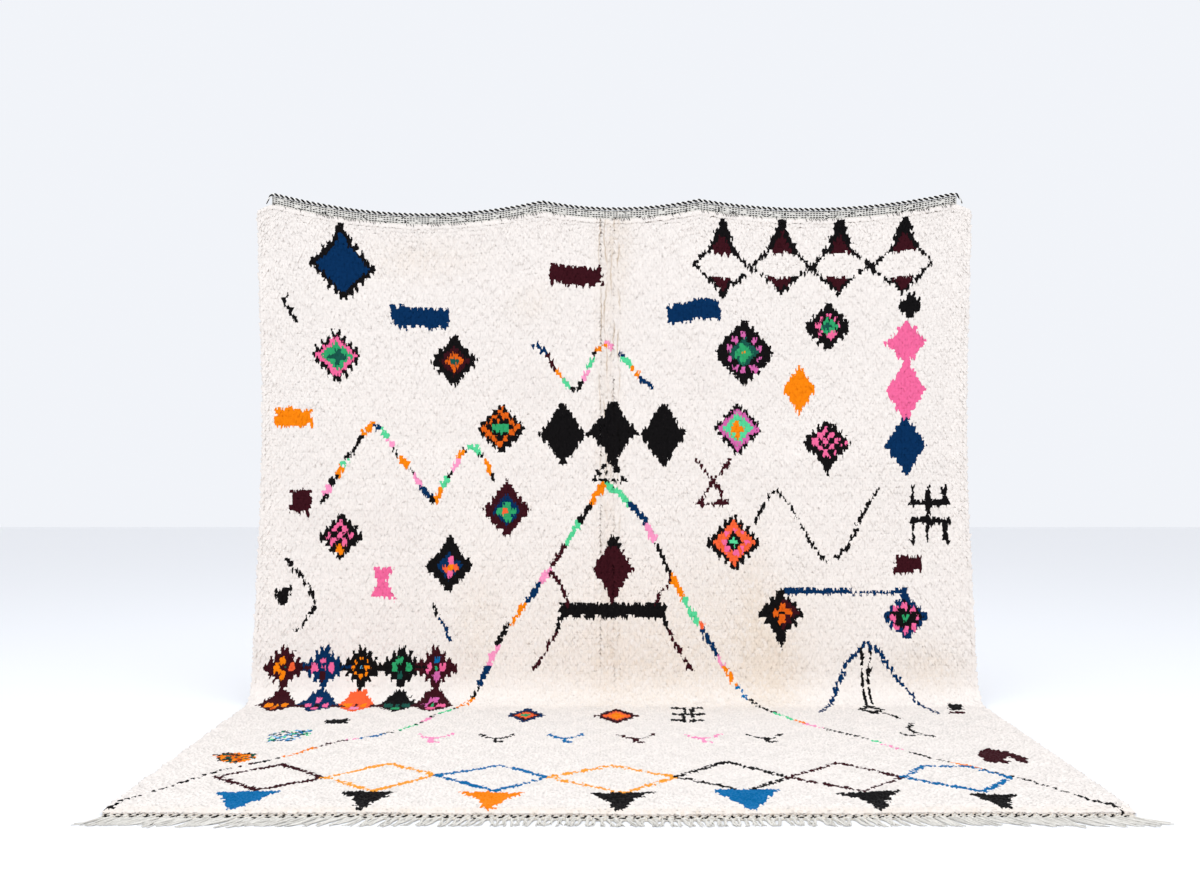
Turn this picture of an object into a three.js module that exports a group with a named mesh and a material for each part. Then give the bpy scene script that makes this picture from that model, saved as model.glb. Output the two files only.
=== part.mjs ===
// An Azilal rug, held up by its head: it hangs like a curtain, sweeps round onto the floor and lies flat
// there, with its fringed foot in front. A thick field of wool knots on a woven ground ends at the head in
// a flat-woven band and a twined edge cord, and at the foot in a twined band that the warp tufts leave.
// Millimetres, +Z up. The pile faces -Y where it hangs and +Z where it lies. The origin is on the floor,
// under the middle of the whole rug.

import * as THREE from "three";

// Driving dimensions
const FIELD_HALF = 1525; // half the width of the knotted field
const PILE = 24; // from the back of the weave to the tips of the wool
const RIM_PILE = 17; // the same at the rim, where the wool leans outwards
const RIM_BACK = 8; // the woven ground and the roots of the wool, which make a plain rim
const LUMP = 5; // how far one patch of wool stands above or below the next
const LOCK_REACH = 14; // how far the longest lock leans past a side
const WAIST = 0.011; // how much narrower the hung part is half way down
const GAP = 0.3; // between two pieces that touch
const BAND_TALL = 34; // flat-woven band above the pile
const BAND_HALF = 1470; // half its length: the pile runs on past both ends
const BAND_THICK = 3;
const BAND_RIBS = 5;
const CORD_R = 5.5; // twined edge cord
const CORD_TWIST = 25; // from one turn of its dark strand to the next
const CORD_TAIL = 24; // its loose ends reach this far past the band
const FOOT_BAND = 52; // twined band past the pile, on the floor
const FOOT_THICK = 4;
const TWINE_RISE = 3.5; // how far the two rows of twining stand up
const TUFT = { wide: 7, tall: 6, stray: 0.12 }; // one warp tuft of the fringe, where it is fullest

// The fall of the back of the rug, seen from its side: a slack line down from the head, the sweep and the
// floor. y is measured from the held head, forwards being negative.
const HEAD = { y: 0, z: 2136 };
const SLACK_HIGH = { y: 45, z: 1400 };
const SLACK_LOW = { y: 25, z: 800 };
const SWEEP = { y: -75, z: 170 };
const BEND = { y: -102, z: 0 };
const HEEL = { y: -252, z: 0 };
const FOOT = { y: -1862, z: 0 };

// Where the head is held, and how far it sags before the next hold
const HOLDS = [
  { across: -1525, top: 2137, sag: 0 },
  { across: -1467, top: 2136, sag: 69 },
  { across: -310, top: 2101, sag: 32 },
  { across: 361, top: 2108, sag: 50 },
  { across: 1457, top: 2136, sag: 0 },
  { across: 1525, top: 2137, sag: 0 },
];
const SAG_FADE = 620; // the sag is lost this far down
const CORNER = { width: 85, droop: 26, fade: 110 }; // the corners outside the end holds fall

// Folds of the hung part: where each runs, how far it slants, its half width, how far it stands forward
// (negative for a hollow), and where it begins and ends below the head
const FOLDS = [
  { across: -64, slant: 0, half: 11, rise: 6, from: -500, to: 2140 }, // the three wrinkles of the
  { across: -30, slant: 0, half: 10, rise: -6, from: -500, to: 2160 }, // fold in which the rug is
  { across: 4, slant: 0, half: 11, rise: 6, from: -500, to: 2120 }, // kept
  { across: -310, slant: -60, half: 110, rise: 16, from: -500, to: 900 }, // pulled from the holds
  { across: 361, slant: 70, half: 110, rise: 15, from: -500, to: 850 },
  { across: -1330, slant: 130, half: 150, rise: 15, from: -500, to: 1500 },
  { across: 1340, slant: -120, half: 140, rise: 14, from: -500, to: 1400 },
  { across: -830, slant: 90, half: 230, rise: -14, from: -500, to: 1250 }, // slack between them
  { across: 830, slant: -40, half: 220, rise: -13, from: -500, to: 1150 },
  { across: 700, slant: 60, half: 70, rise: 15, from: 1350, to: 2150 }, // soft folds above the floor
  { across: 585, slant: 40, half: 55, rise: -11, from: 1300, to: 2130 },
  { across: -590, slant: -70, half: 90, rise: 11, from: 1350, to: 2140 },
  { across: -1010, slant: 30, half: 160, rise: -9, from: 1250, to: 2110 },
  { across: 1170, slant: 60, half: 130, rise: 10, from: 1500, to: 2130 },
  { across: -1525, slant: 0, half: 60, rise: 9, from: 200, to: 2100 }, // the sides curl forward
  { across: 1525, slant: 0, half: 60, rise: 10, from: 200, to: 2100 },
];
const FOLD_FADE = 260; // over which a fold begins or ends

// How the foot leaves a straight line, and how many degrees the tufts lean along it
const FOOT_BOW = 20; // the middle lies this much further forward than the corners
const FOOT_WAVES = [
  { length: 1630, rise: 6, start: 1 },
  { length: 610, rise: 3.5, start: 0.4 },
];
const TUFTS = [
  { across: -1525, lean: -60, reach: 122 },
  { across: -1000, lean: -48, reach: 105 },
  { across: -560, lean: -20, reach: 78 },
  { across: 0, lean: 0, reach: 68 },
  { across: 620, lean: 10, reach: 74 },
  { across: 1050, lean: 42, reach: 100 },
  { across: 1525, lean: 58, reach: 118 },
];

// The same random number from 0 to 1 each time for a pair of counts
function chance(i, j) {
  const wide = Math.sin(i * 127.1 + j * 311.7) * 43758.5453;
  return wide - Math.floor(wide);
}

function smooth(x) {
  const t = Math.min(Math.max(x, 0), 1);
  return t * t * (3 - 2 * t);
}

// The value of a table's column at a place across the rug, on straight lines between its rows
function between(table, column, across) {
  const last = table.length - 2;
  const found = table.findIndex((row, i) => i <= last && across <= table[i + 1].across);
  const i = found < 0 ? last : found;
  const t = (across - table[i].across) / (table[i + 1].across - table[i].across);
  return table[i][column] + (table[i + 1][column] - table[i][column]) * t;
}

// The fall as one path, in (y, z)
const at = ({ y, z }) => new THREE.Vector2(y, z);
const fall = new THREE.CurvePath();
fall.add(new THREE.CubicBezierCurve(at(HEAD), at(SLACK_HIGH), at(SLACK_LOW), at(SWEEP)));
fall.add(new THREE.QuadraticBezierCurve(at(SWEEP), at(BEND), at(HEEL)));
fall.add(new THREE.LineCurve(at(HEEL), at(FOOT)));
const [HUNG_LONG, HEEL_LONG, FIELD_LONG] = fall.getCurveLengths();

function headHeight(across) {
  const last = HOLDS.length - 2;
  const found = HOLDS.findIndex((row, i) => i <= last && across <= HOLDS[i + 1].across);
  const { across: start, sag } = HOLDS[found];
  const t = (across - start) / (HOLDS[found + 1].across - start);
  return between(HOLDS, "top", across) - sag * 4 * t * (1 - t);
}

// How far the folds carry the cloth forward
function relief(across, down) {
  let sum = 0;
  for (const { across: start, slant, half, rise, from, to } of FOLDS) {
    const line = start + slant * Math.min(Math.max((down - Math.max(from, 0)) / (to - from), 0), 1);
    const level = smooth((down - from) / FOLD_FADE) * smooth((to - down) / FOLD_FADE);
    sum += rise * level * Math.exp(-(((across - line) / half) ** 2));
  }
  return sum;
}

function footLine(across) {
  const bow = FOOT_BOW * (1 - (across / FIELD_HALF) ** 2);
  return FOOT_WAVES.reduce(
    (sum, { length, rise, start }) => sum + rise * Math.sin((across / length) * 2 * Math.PI + start),
    bow,
  );
}

// A point of the cloth: its place across, how far down from the head along the fall, and how far out
// from the back towards the pile
function cloth(across, down, out) {
  const t = Math.min(Math.max(down / FIELD_LONG, 0), 1);
  const line = fall.getPointAt(t);
  const way = fall.getTangentAt(t);
  const lifted = smooth((HEEL_LONG - down) / (HEEL_LONG - HUNG_LONG));
  const forward = out + relief(across, down) * lifted;
  const past = Math.max(Math.abs(across) - (FIELD_HALF - CORNER.width), 0) / CORNER.width;
  const sag = (HEAD.z - headHeight(across)) * Math.exp(-((down / SAG_FADE) ** 2));
  const droop = CORNER.droop * past ** 2 * Math.exp(-down / CORNER.fade);
  const reach = footLine(across) * smooth((down - HEEL_LONG) / (FIELD_LONG - HEEL_LONG));
  const waist = WAIST * Math.sin(Math.min(down / HUNG_LONG, 1) * Math.PI) ** 2;
  return new THREE.Vector3(
    across * (1 - waist),
    line.x + way.y * forward - reach,
    line.y - way.x * forward - (sag + droop) * lifted,
  );
}

// Points and faces by name, made into one closed geometry
class Skin {
  constructor() {
    this.index = new Map();
    this.places = [];
    this.corners = [];
  }

  point(name, place) {
    if (!this.index.has(name)) {
      this.index.set(name, this.places.length / 3);
      this.places.push(place.x, place.y, place.z);
    }
    return this.index.get(name);
  }

  // A flat or nearly flat face, as a fan from its first point
  face(points) {
    for (let i = 1; i + 1 < points.length; i++) {
      this.corners.push(points[0], points[i], points[i + 1]);
    }
  }

  geometry() {
    const geometry = new THREE.BufferGeometry();
    geometry.setAttribute("position", new THREE.Float32BufferAttribute(this.places, 3));
    geometry.setIndex(this.corners);
    return geometry;
  }
}

// Lines across and down at which the field is measured. They are close together on the middle crease and
// round the sweep. Both have an even number of steps, because the back has every second line.
function steps(from, to, count) {
  return Array.from({ length: count }, (_, i) => from + ((to - from) * i) / count);
}
const CREASE = { from: -98, to: 38 };
function linesAcross(endSteps, sideSteps, creaseSteps) {
  return [
    ...steps(-FIELD_HALF, -BAND_HALF, endSteps),
    ...steps(-BAND_HALF, CREASE.from, sideSteps),
    ...steps(CREASE.from, CREASE.to, creaseSteps),
    ...steps(CREASE.to, BAND_HALF, sideSteps),
    ...steps(BAND_HALF, FIELD_HALF, endSteps),
    FIELD_HALF,
  ];
}
const ACROSS = linesAcross(1, 17, 8);
const FOOT_LINES = linesAcross(2, 34, 4);
const DOWN = [
  ...steps(0, HUNG_LONG, 24),
  ...steps(HUNG_LONG, HEEL_LONG, 8),
  ...steps(HEEL_LONG, FIELD_LONG, 18),
  FIELD_LONG,
];
const LAST = { i: ACROSS.length - 1, j: DOWN.length - 1 };

// How far the wool stands out of line where two lines cross, less where the lines are close together
function lump(i, j) {
  const room = Math.min((ACROSS[i + 1] - ACROSS[i - 1]) / 150, 1);
  return LUMP * room * (2 * chance(i, j) - 1);
}

// The knotted field: a lumpy slab with two locks of wool on each step of its rim. Its levels are the back,
// the top of the plain rim, and the pile. Half lines lie between two steps of the rim.
function pileField() {
  const skin = new Skin();
  const isRim = (i, j) => i === 0 || j === 0 || i === LAST.i || j === LAST.j;
  const outOf = {
    back: () => 0,
    rim: () => RIM_BACK,
    pile: (i, j) => (isRim(i, j) ? RIM_PILE : PILE + lump(i, j)),
  };

  function place(level, i, j) {
    const [i0, j0] = [Math.floor(i), Math.floor(j)];
    if (i0 === i && j0 === j) return cloth(ACROSS[i], DOWN[j], outOf[level](i, j));
    const [i1, j1] = [Math.ceil(i), Math.ceil(j)];
    return place(level, i0, j0).lerp(place(level, i1, j1), 0.5);
  }
  const point = (level, i, j) => skin.point(level + i + "," + j, place(level, i, j));

  // The points round one cell, from an inner corner. A side that lies on the rim also has its half point.
  function cell(level, i, j, step) {
    const loop = [
      [i, j],
      [i, j + step],
      [i + step, j + step],
      [i + step, j],
    ];
    const start = loop.findIndex(([a, b]) => !isRim(a, b));
    const ring = [];
    for (let k = 0; k < 4; k++) {
      const [a, b] = loop[(start + k) % 4];
      const [c, d] = loop[(start + k + 1) % 4];
      const outer = (a === c && (a === 0 || a === LAST.i)) || (b === d && (b === 0 || b === LAST.j));
      ring.push(point(level, a, b));
      if (outer) ring.push(point(level, (a + c) / 2, (b + d) / 2));
    }
    return ring;
  }
  for (let i = 0; i < LAST.i; i++) {
    for (let j = 0; j < LAST.j; j++) skin.face(cell("pile", i, j, 1));
  }
  for (let i = 0; i < LAST.i; i += 2) {
    for (let j = 0; j < LAST.j; j += 2) skin.face(cell("back", i, j, 2).reverse());
  }

  // The rim, walked so that the cloth is on the left of someone who looks at the pile
  const walk = [];
  for (let j = 0; j < LAST.j; j++) walk.push([0, j]);
  for (let i = 0; i < LAST.i; i++) walk.push([i, LAST.j]);
  for (let j = LAST.j; j > 0; j--) walk.push([LAST.i, j]);
  for (let i = LAST.i; i > 0; i--) walk.push([i, 0]);
  walk.forEach((a, k) => {
    const b = walk[(k + 1) % walk.length];
    const half = [(a[0] + b[0]) / 2, (a[1] + b[1]) / 2];
    const plain = [b, half, a].map((stop) => point("rim", ...stop));
    skin.face([point("back", ...a), point("back", ...b), ...plain]);
    const longest = a[0] === b[0] ? LOCK_REACH : LOCK_REACH * 0.7;
    const halves = [
      [a, half],
      [half, b],
    ];
    halves.forEach(([p, q], n) => {
      const base = [place("rim", ...p), place("rim", ...q), place("pile", ...q), place("pile", ...p)];
      const middle = base.reduce((sum, v) => sum.add(v), new THREE.Vector3()).multiplyScalar(0.25);
      const along = place("rim", ...q).sub(place("rim", ...p));
      const up = place("pile", ...p).sub(place("rim", ...p));
      const reach = longest * (0.5 + 0.5 * chance(k, n + 60));
      middle.addScaledVector(along.cross(up).normalize(), reach);
      const tip = skin.point("lock" + k + "," + n, middle);
      const ring = [point("rim", ...p), point("rim", ...q), point("pile", ...q), point("pile", ...p)];
      ring.forEach((corner, m) => skin.face([corner, ring[(m + 1) % 4], tip]));
    });
  });
  return skin.geometry();
}

// A bar of one closed section at each stop along it. rings holds the points of each section in order,
// anticlockwise for someone who looks along the bar from its start.
function bar(rings) {
  const skin = new Skin();
  const count = rings[0].length;
  const point = (n, k) => skin.point(n + "," + (k % count), rings[n][k % count]);
  for (let n = 0; n + 1 < rings.length; n++) {
    for (let k = 0; k < count; k++) {
      skin.face([point(n, k), point(n + 1, k), point(n + 1, k + 1), point(n, k + 1)]);
    }
  }
  const last = rings.length - 1;
  const ends = rings[0].map((_, k) => k);
  skin.face(ends.map((k) => point(0, k)));
  skin.face(ends.map((k) => point(last, k)).reverse());
  return skin.geometry();
}

// A point of the cloth, on straight lines between the field's own lines across
function onLines(across, down, out) {
  const found = Math.max(
    ACROSS.findIndex((_, i) => across <= ACROSS[i + 1]),
    0,
  );
  const [start, end] = [ACROSS[found], ACROSS[found + 1]];
  return cloth(start, down, out).lerp(cloth(end, down, out), (across - start) / (end - start));
}

// A point that lies a height above the top edge of the pile
function aboveHead(across, tall, out) {
  const place = onLines(across, 0, out);
  place.z += tall;
  return place;
}

// The flat-woven band: a thin strip with a rib for each pair of dark and light rows
function headBand() {
  const pitch = (BAND_TALL - GAP) / BAND_RIBS;
  const profile = [{ tall: GAP, out: 0 }];
  for (let n = 0; n < BAND_RIBS; n++) {
    profile.push({ tall: GAP + n * pitch, out: BAND_THICK * 0.6 });
    profile.push({ tall: GAP + (n + 0.5) * pitch, out: BAND_THICK });
  }
  profile.push({ tall: BAND_TALL, out: BAND_THICK * 0.6 });
  profile.push({ tall: BAND_TALL, out: 0 });
  const lines = ACROSS.filter((across) => Math.abs(across) <= BAND_HALF);
  return bar(lines.map((across) => profile.map(({ tall, out }) => aboveHead(across, tall, out))));
}

// The twined edge cord: a thick and a thin ring for each turn, slanted as its strands are, and a short
// tail that hangs from each end hold
function edgeCord() {
  const middle = BAND_TALL + GAP + CORD_R * 1.25;
  const turns = Math.round((2 * BAND_HALF) / CORD_TWIST);
  const tail = [
    { past: CORD_TAIL, tall: 7, size: 0.5 },
    { past: CORD_TAIL * 0.75, tall: 22, size: 0.8 },
    { past: CORD_TAIL * 0.35, tall: middle - 7, size: 0.9 },
  ];
  const end = (side) => tail.map(({ past, ...rest }) => ({ across: side * (BAND_HALF + past), ...rest }));
  const twined = Array.from({ length: 2 * turns + 1 }, (_, n) => ({
    across: -BAND_HALF + (n * BAND_HALF) / turns,
    tall: middle,
    size: n % 2 ? 0.78 : 1.18,
    slant: CORD_TWIST / 4,
  }));

  const limit = BAND_HALF + CORD_TAIL;
  return bar(
    [...end(-1), ...twined, ...end(1).reverse()].map(({ across, tall, size, slant = 0 }) =>
      [0, 90, 180, 270].map((degrees) => {
        const turn = THREE.MathUtils.degToRad(degrees);
        const inside = THREE.MathUtils.clamp(across - slant * Math.sin(turn), -limit, limit);
        const place = aboveHead(inside, tall + CORD_R * size * Math.sin(turn), CORD_R);
        place.y -= CORD_R * size * Math.cos(turn);
        return place;
      }),
    ),
  );
}

// The twined band on the floor, past the foot of the pile. Two tufts of warp yarn leave each step of its
// front edge. A tuft is three-sided and lies on its flat side: it bends at half its reach and is drawn to
// a tip.
function fringe() {
  const skin = new Skin();
  const section = [
    { past: FOOT_BAND, tall: 0 },
    { past: FOOT_BAND, tall: FOOT_THICK },
    { past: FOOT_BAND * 0.72, tall: FOOT_THICK, twine: 1 },
    { past: FOOT_BAND * 0.52, tall: FOOT_THICK },
    { past: FOOT_BAND * 0.3, tall: FOOT_THICK, twine: 0 },
    { past: FOOT_BAND * 0.2, tall: FOOT_THICK },
    { past: GAP, tall: FOOT_THICK },
    { past: GAP, tall: 0 },
  ];
  const under = section.length - 1;

  function band(n, k) {
    const { past, tall, twine } = section[k];
    const knot = twine === undefined ? 0 : TWINE_RISE * ((n + twine) % 2 ? 1 : 0.45);
    const place = onLines(FOOT_LINES[n], FIELD_LONG, 0);
    place.y -= past;
    place.z = tall + knot;
    return skin.point("band" + n + "," + k, place);
  }

  // The root's two low corners and its top, on the front edge, and then the tuft itself
  function tuft(n, share, seed) {
    const [start, end] = [FOOT_LINES[n], FOOT_LINES[n + 1]];
    const across = start + (end - start) * (share + TUFT.stray * (chance(seed, 1) - 0.5));
    const root = (shift, tall) => {
      const place = onLines(start, FIELD_LONG, 0);
      place.lerp(onLines(end, FIELD_LONG, 0), (across + shift - start) / (end - start));
      place.y -= FOOT_BAND;
      return place.setZ(tall);
    };
    const lean = between(TUFTS, "lean", across) + (seed % 2 ? 4 : -4) + 5 * (chance(seed, 2) - 0.5);
    const reach = between(TUFTS, "reach", across) * (0.75 + 0.4 * chance(seed, 3));
    const away = (degrees, far) => {
      const angle = THREE.MathUtils.degToRad(degrees);
      return new THREE.Vector3(Math.sin(angle), -Math.cos(angle), 0).multiplyScalar(far);
    };
    const bend = root(0, 0).add(away(lean * 0.85, reach / 2));
    const side = away(lean * 0.85 + 90, TUFT.wide / 2);
    const named = (part, place) => skin.point("tuft" + seed + part, place);
    const low = named("low", root(-TUFT.wide / 2, 0));
    const high = named("high", root(TUFT.wide / 2, 0));
    const top = named("top", root(0, FOOT_THICK));
    const bendLow = named("bendLow", bend.clone().sub(side));
    const bendHigh = named("bendHigh", bend.clone().add(side));
    const bendTop = named("bendTop", bend.clone().setZ(TUFT.tall));
    const tip = named("tip", bend.clone().add(away(lean * 1.1, reach / 2)));
    skin.face([low, bendLow, bendTop, top]);
    skin.face([top, bendTop, bendHigh, high]);
    skin.face([high, bendHigh, bendLow, low]);
    skin.face([bendLow, tip, bendTop]);
    skin.face([bendTop, tip, bendHigh]);
    skin.face([bendHigh, tip, bendLow]);
    return { low, high, top };
  }

  const last = FOOT_LINES.length - 1;
  for (let n = 0; n < last; n++) {
    const first = tuft(n, 0.27, 2 * n);
    const second = tuft(n, 0.73, 2 * n + 1);
    for (let k = 2; k < under; k++) {
      skin.face([band(n, k), band(n + 1, k), band(n + 1, k + 1), band(n, k + 1)]);
    }
    skin.face([band(n, 2), band(n, 1), first.top, second.top, band(n + 1, 1), band(n + 1, 2)]);
    skin.face([band(n, 1), band(n, 0), first.low, first.top]);
    skin.face([first.top, first.high, second.low, second.top]);
    skin.face([second.top, second.high, band(n + 1, 0), band(n + 1, 1)]);
    const front = [first.low, first.high, second.low, second.high];
    skin.face([band(n, under), band(n + 1, under), band(n + 1, 0), ...front.reverse(), band(n, 0)]);
  }
  const ends = section.map((_, k) => k);
  skin.face(ends.map((k) => band(0, k)));
  skin.face(ends.map((k) => band(last, k)).reverse());
  return skin.geometry();
}

function piece(name, geometry, color, roughness) {
  const mesh = new THREE.Mesh(geometry, new THREE.MeshStandardMaterial({ color, roughness, metalness: 0 }));
  mesh.name = name;
  return mesh;
}

const rug = new THREE.Group();
rug.add(piece("pile_field", pileField(), 0xf0e8df, 0.95));
rug.add(piece("kilim_header", headBand(), 0x8d8a84, 0.9));
rug.add(piece("header_cord", edgeCord(), 0x2b2928, 0.9));
rug.add(piece("fringe", fringe(), 0xe9e2d6, 0.92));

const box = new THREE.Box3().setFromObject(rug);
const centre = box.getCenter(new THREE.Vector3());
rug.position.set(-centre.x, -centre.y, 0);

export default rug;
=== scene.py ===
# %% [markdown]
# # A hand-knotted wool rug, held up by its head
#
# The rug hangs like a curtain, sweeps round onto the floor and lies flat there, out to its fringed foot.
# A weaver makes such a rug from the foot up: warps are stretched on a loom, a row of wool knots is tied
# round them, a few wefts are beaten down on the knots, and so on. This lesson goes from the large to the
# small instead: first the shape of the cloth, then a chart that gives each knot its wool, then the woven
# ground, the knots' tufts, the flat-woven head with its cord, and the foot with its loose warps.
#
# The solid model is loaded first and stays as it is. Everything made here lies in its frame, in metres.

# %% The solid model
import math

import bpy
import numpy as np
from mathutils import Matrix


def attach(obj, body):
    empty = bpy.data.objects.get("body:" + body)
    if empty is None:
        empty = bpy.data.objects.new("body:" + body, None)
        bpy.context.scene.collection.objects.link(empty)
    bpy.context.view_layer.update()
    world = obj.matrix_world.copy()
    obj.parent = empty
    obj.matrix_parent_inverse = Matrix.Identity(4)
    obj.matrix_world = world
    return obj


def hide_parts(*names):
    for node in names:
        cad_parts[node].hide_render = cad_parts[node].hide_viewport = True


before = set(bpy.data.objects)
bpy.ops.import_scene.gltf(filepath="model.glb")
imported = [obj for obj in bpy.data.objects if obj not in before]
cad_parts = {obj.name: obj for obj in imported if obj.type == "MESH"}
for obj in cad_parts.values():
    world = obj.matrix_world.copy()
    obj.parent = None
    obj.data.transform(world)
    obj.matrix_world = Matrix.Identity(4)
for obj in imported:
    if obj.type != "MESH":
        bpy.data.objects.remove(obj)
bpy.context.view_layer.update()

# %% [markdown]
# ## The camera
#
# The view is level and square to the hung part, so upright lines stay upright. The lens and the distance
# come from the horizon's height and from the rug's parallel sides on the floor. A small shift puts the
# horizon at its row in the picture without tilting the camera.

# %% The camera
CAMERA_PLACE = (-0.04, -5.03, 1.091)
PICTURE_WIDE = 1200
FOCAL_PIXELS = 1400
SENSOR_MM = 36
VANISHING_POINT = (605, 447)
PICTURE_MIDDLE = (600, 448)

camera_data = bpy.data.cameras.new("camera")
camera_data.sensor_width = SENSOR_MM
camera_data.lens = SENSOR_MM * FOCAL_PIXELS / PICTURE_WIDE
camera_data.shift_x = (PICTURE_MIDDLE[0] - VANISHING_POINT[0]) / PICTURE_WIDE
camera_data.shift_y = (VANISHING_POINT[1] - PICTURE_MIDDLE[1]) / PICTURE_WIDE
camera = bpy.data.objects.new("camera", camera_data)
camera.location = CAMERA_PLACE
camera.rotation_euler = (math.radians(90), 0, 0)
bpy.context.scene.collection.objects.link(camera)
bpy.context.scene.camera = camera
print("lens", camera_data.lens, "mm")

# %% [markdown]
# ## How the cloth falls
#
# Cloth bends but hardly stretches. So its shape is best told in the cloth's own measure: how far *across*
# from the middle, how far *down* from the head, and how far *out* from its back towards the pile. One
# side line, drawn once, gives the fall from the head over the sweep to the floor. Points are spaced along
# it by its true length, so that a knot keeps its size on the bend.

# %% The fall, seen from the side
FIELD_WIDE = 3.05
FIELD_HALF = FIELD_WIDE / 2
FRAME_PLACE = np.array((0.00017, 0.99133, 0))  # where the foot of the hung line lies in the frame

HEAD = (0, 2.136)  # (y, z)
SLACK_HIGH = (0.045, 1.4)
SLACK_LOW = (0.025, 0.8)
SWEEP = (-0.075, 0.17)
BEND = (-0.102, 0)
HEEL = (-0.252, 0)
FOOT = (-1.862, 0)


def bezier(*points, steps=400):
    """A curve from its few guiding points, found by halving the lines between them again and again."""
    t = np.linspace(0, 1, steps)[:, None]
    rows = [np.array(point, float) + 0 * t for point in points]
    while len(rows) > 1:
        rows = [a + (b - a) * t for a, b in zip(rows, rows[1:])]
    return rows[0]


hung_line = bezier(HEAD, SLACK_HIGH, SLACK_LOW, SWEEP)
bend_line = bezier(SWEEP, BEND, HEEL)
flat_line = bezier(HEEL, FOOT, steps=3)
fall = np.concatenate([hung_line, bend_line[1:], flat_line[1:]])
fall_at = np.r_[0, np.cumsum(np.linalg.norm(np.diff(fall, axis=0), axis=1))]
fall_way = np.gradient(fall, fall_at, axis=0)
fall_way /= np.linalg.norm(fall_way, axis=1)[:, None]
HUNG_LONG = fall_at[len(hung_line) - 1]
HEEL_LONG = fall_at[len(hung_line) + len(bend_line) - 2]
FIELD_LONG = fall_at[-1]
print(f"hung {HUNG_LONG:.3f} m, to the heel {HEEL_LONG:.3f} m, whole field {FIELD_LONG:.3f} m")

# %% [markdown]
# ## The sagging head, the folds and the foot
#
# The head is held at a few places and sags between them, and the sag dies away further down. Folds are
# soft ridges and troughs that run down the hung part, each one a row in a table: where it starts, how it
# slants, how wide and how high it is, and where it begins and ends. The foot isn't quite straight either.

# %% The head, the folds and the foot line
HOLDS = [  # across, height of the head, sag before the next hold
    (-1.525, 2.137, 0),
    (-1.467, 2.136, 0.069),
    (-0.310, 2.101, 0.032),
    (0.361, 2.108, 0.050),
    (1.457, 2.136, 0),
    (1.525, 2.137, 0),
]
SAG_FADE = 0.62
CORNER = {"wide": 0.085, "droop": 0.026, "fade": 0.11}
WAIST = 0.011  # the hung part is a little narrower half way down
FOLD_FADE = 0.26
FOLDS = [  # across, slant, half width, rise, from and to, all in centimetres
    (-6.4, 0, 1.1, 0.6, -50, 214),
    (-3.0, 0, 1.0, -0.6, -50, 216),
    (0.4, 0, 1.1, 0.6, -50, 212),
    (-31.0, -6, 11, 1.6, -50, 90),
    (36.1, 7, 11, 1.5, -50, 85),
    (-133, 13, 15, 1.5, -50, 150),
    (134, -12, 14, 1.4, -50, 140),
    (-83, 9, 23, -1.4, -50, 125),
    (83, -4, 22, -1.3, -50, 115),
    (70, 6, 7, 1.5, 135, 215),
    (58.5, 4, 5.5, -1.1, 130, 213),
    (-59, -7, 9, 1.1, 135, 214),
    (-101, 3, 16, -0.9, 125, 211),
    (117, 6, 13, 1.0, 150, 213),
    (-152.5, 0, 6, 0.9, 20, 210),
    (152.5, 0, 6, 1.0, 20, 210),
]
CM = 0.01
FOOT_BOW = 0.020
FOOT_WAVES = [(1.63, 0.006, 1), (0.61, 0.0035, 0.4)]  # length, rise, start


def smooth(x):
    """0 below 0, 1 above 1, and a soft step between them."""
    t = np.clip(x, 0, 1)
    return t * t * (3 - 2 * t)


def head_height(across):
    found = np.full(np.shape(across), HOLDS[0][1])
    for (start, top, sag), (end, next_top, _) in zip(HOLDS, HOLDS[1:]):
        t = (across - start) / (end - start)
        height = top + (next_top - top) * t - sag * 4 * t * (1 - t)
        found = np.where((t >= 0) & (t <= 1), height, found)
    return found


def relief(across, down):
    """How far the folds carry the cloth forward."""
    total = 0
    for row in FOLDS:
        start, slant, half, rise, first, last = (value * CM for value in row)
        line = start + slant * np.clip((down - max(first, 0)) / (last - first), 0, 1)
        level = smooth((down - first) / FOLD_FADE) * smooth((last - down) / FOLD_FADE)
        total = total + rise * level * np.exp(-(((across - line) / half) ** 2))
    return total


def foot_line(across):
    bow = FOOT_BOW * (1 - (across / FIELD_HALF) ** 2)
    return bow + sum(rise * np.sin(across / long * 2 * np.pi + start) for long, rise, start in FOOT_WAVES)


def lifted(down):
    """1 on the hung part and 0 on the floor."""
    return smooth((HEEL_LONG - down) / (HEEL_LONG - HUNG_LONG))


print("head", round(float(head_height(0.0)), 3), "m high in the middle,", len(FOLDS), "folds")

# %% [markdown]
# ## One function for every point of the rug
#
# Everything that follows asks this function where it lies: the ground, each knot, the head band and the
# foot. A second function measures the cloth's own directions at a place, by taking small steps across and
# down, so that tufts stand at right angles to folds as they do on a real rug.

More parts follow.
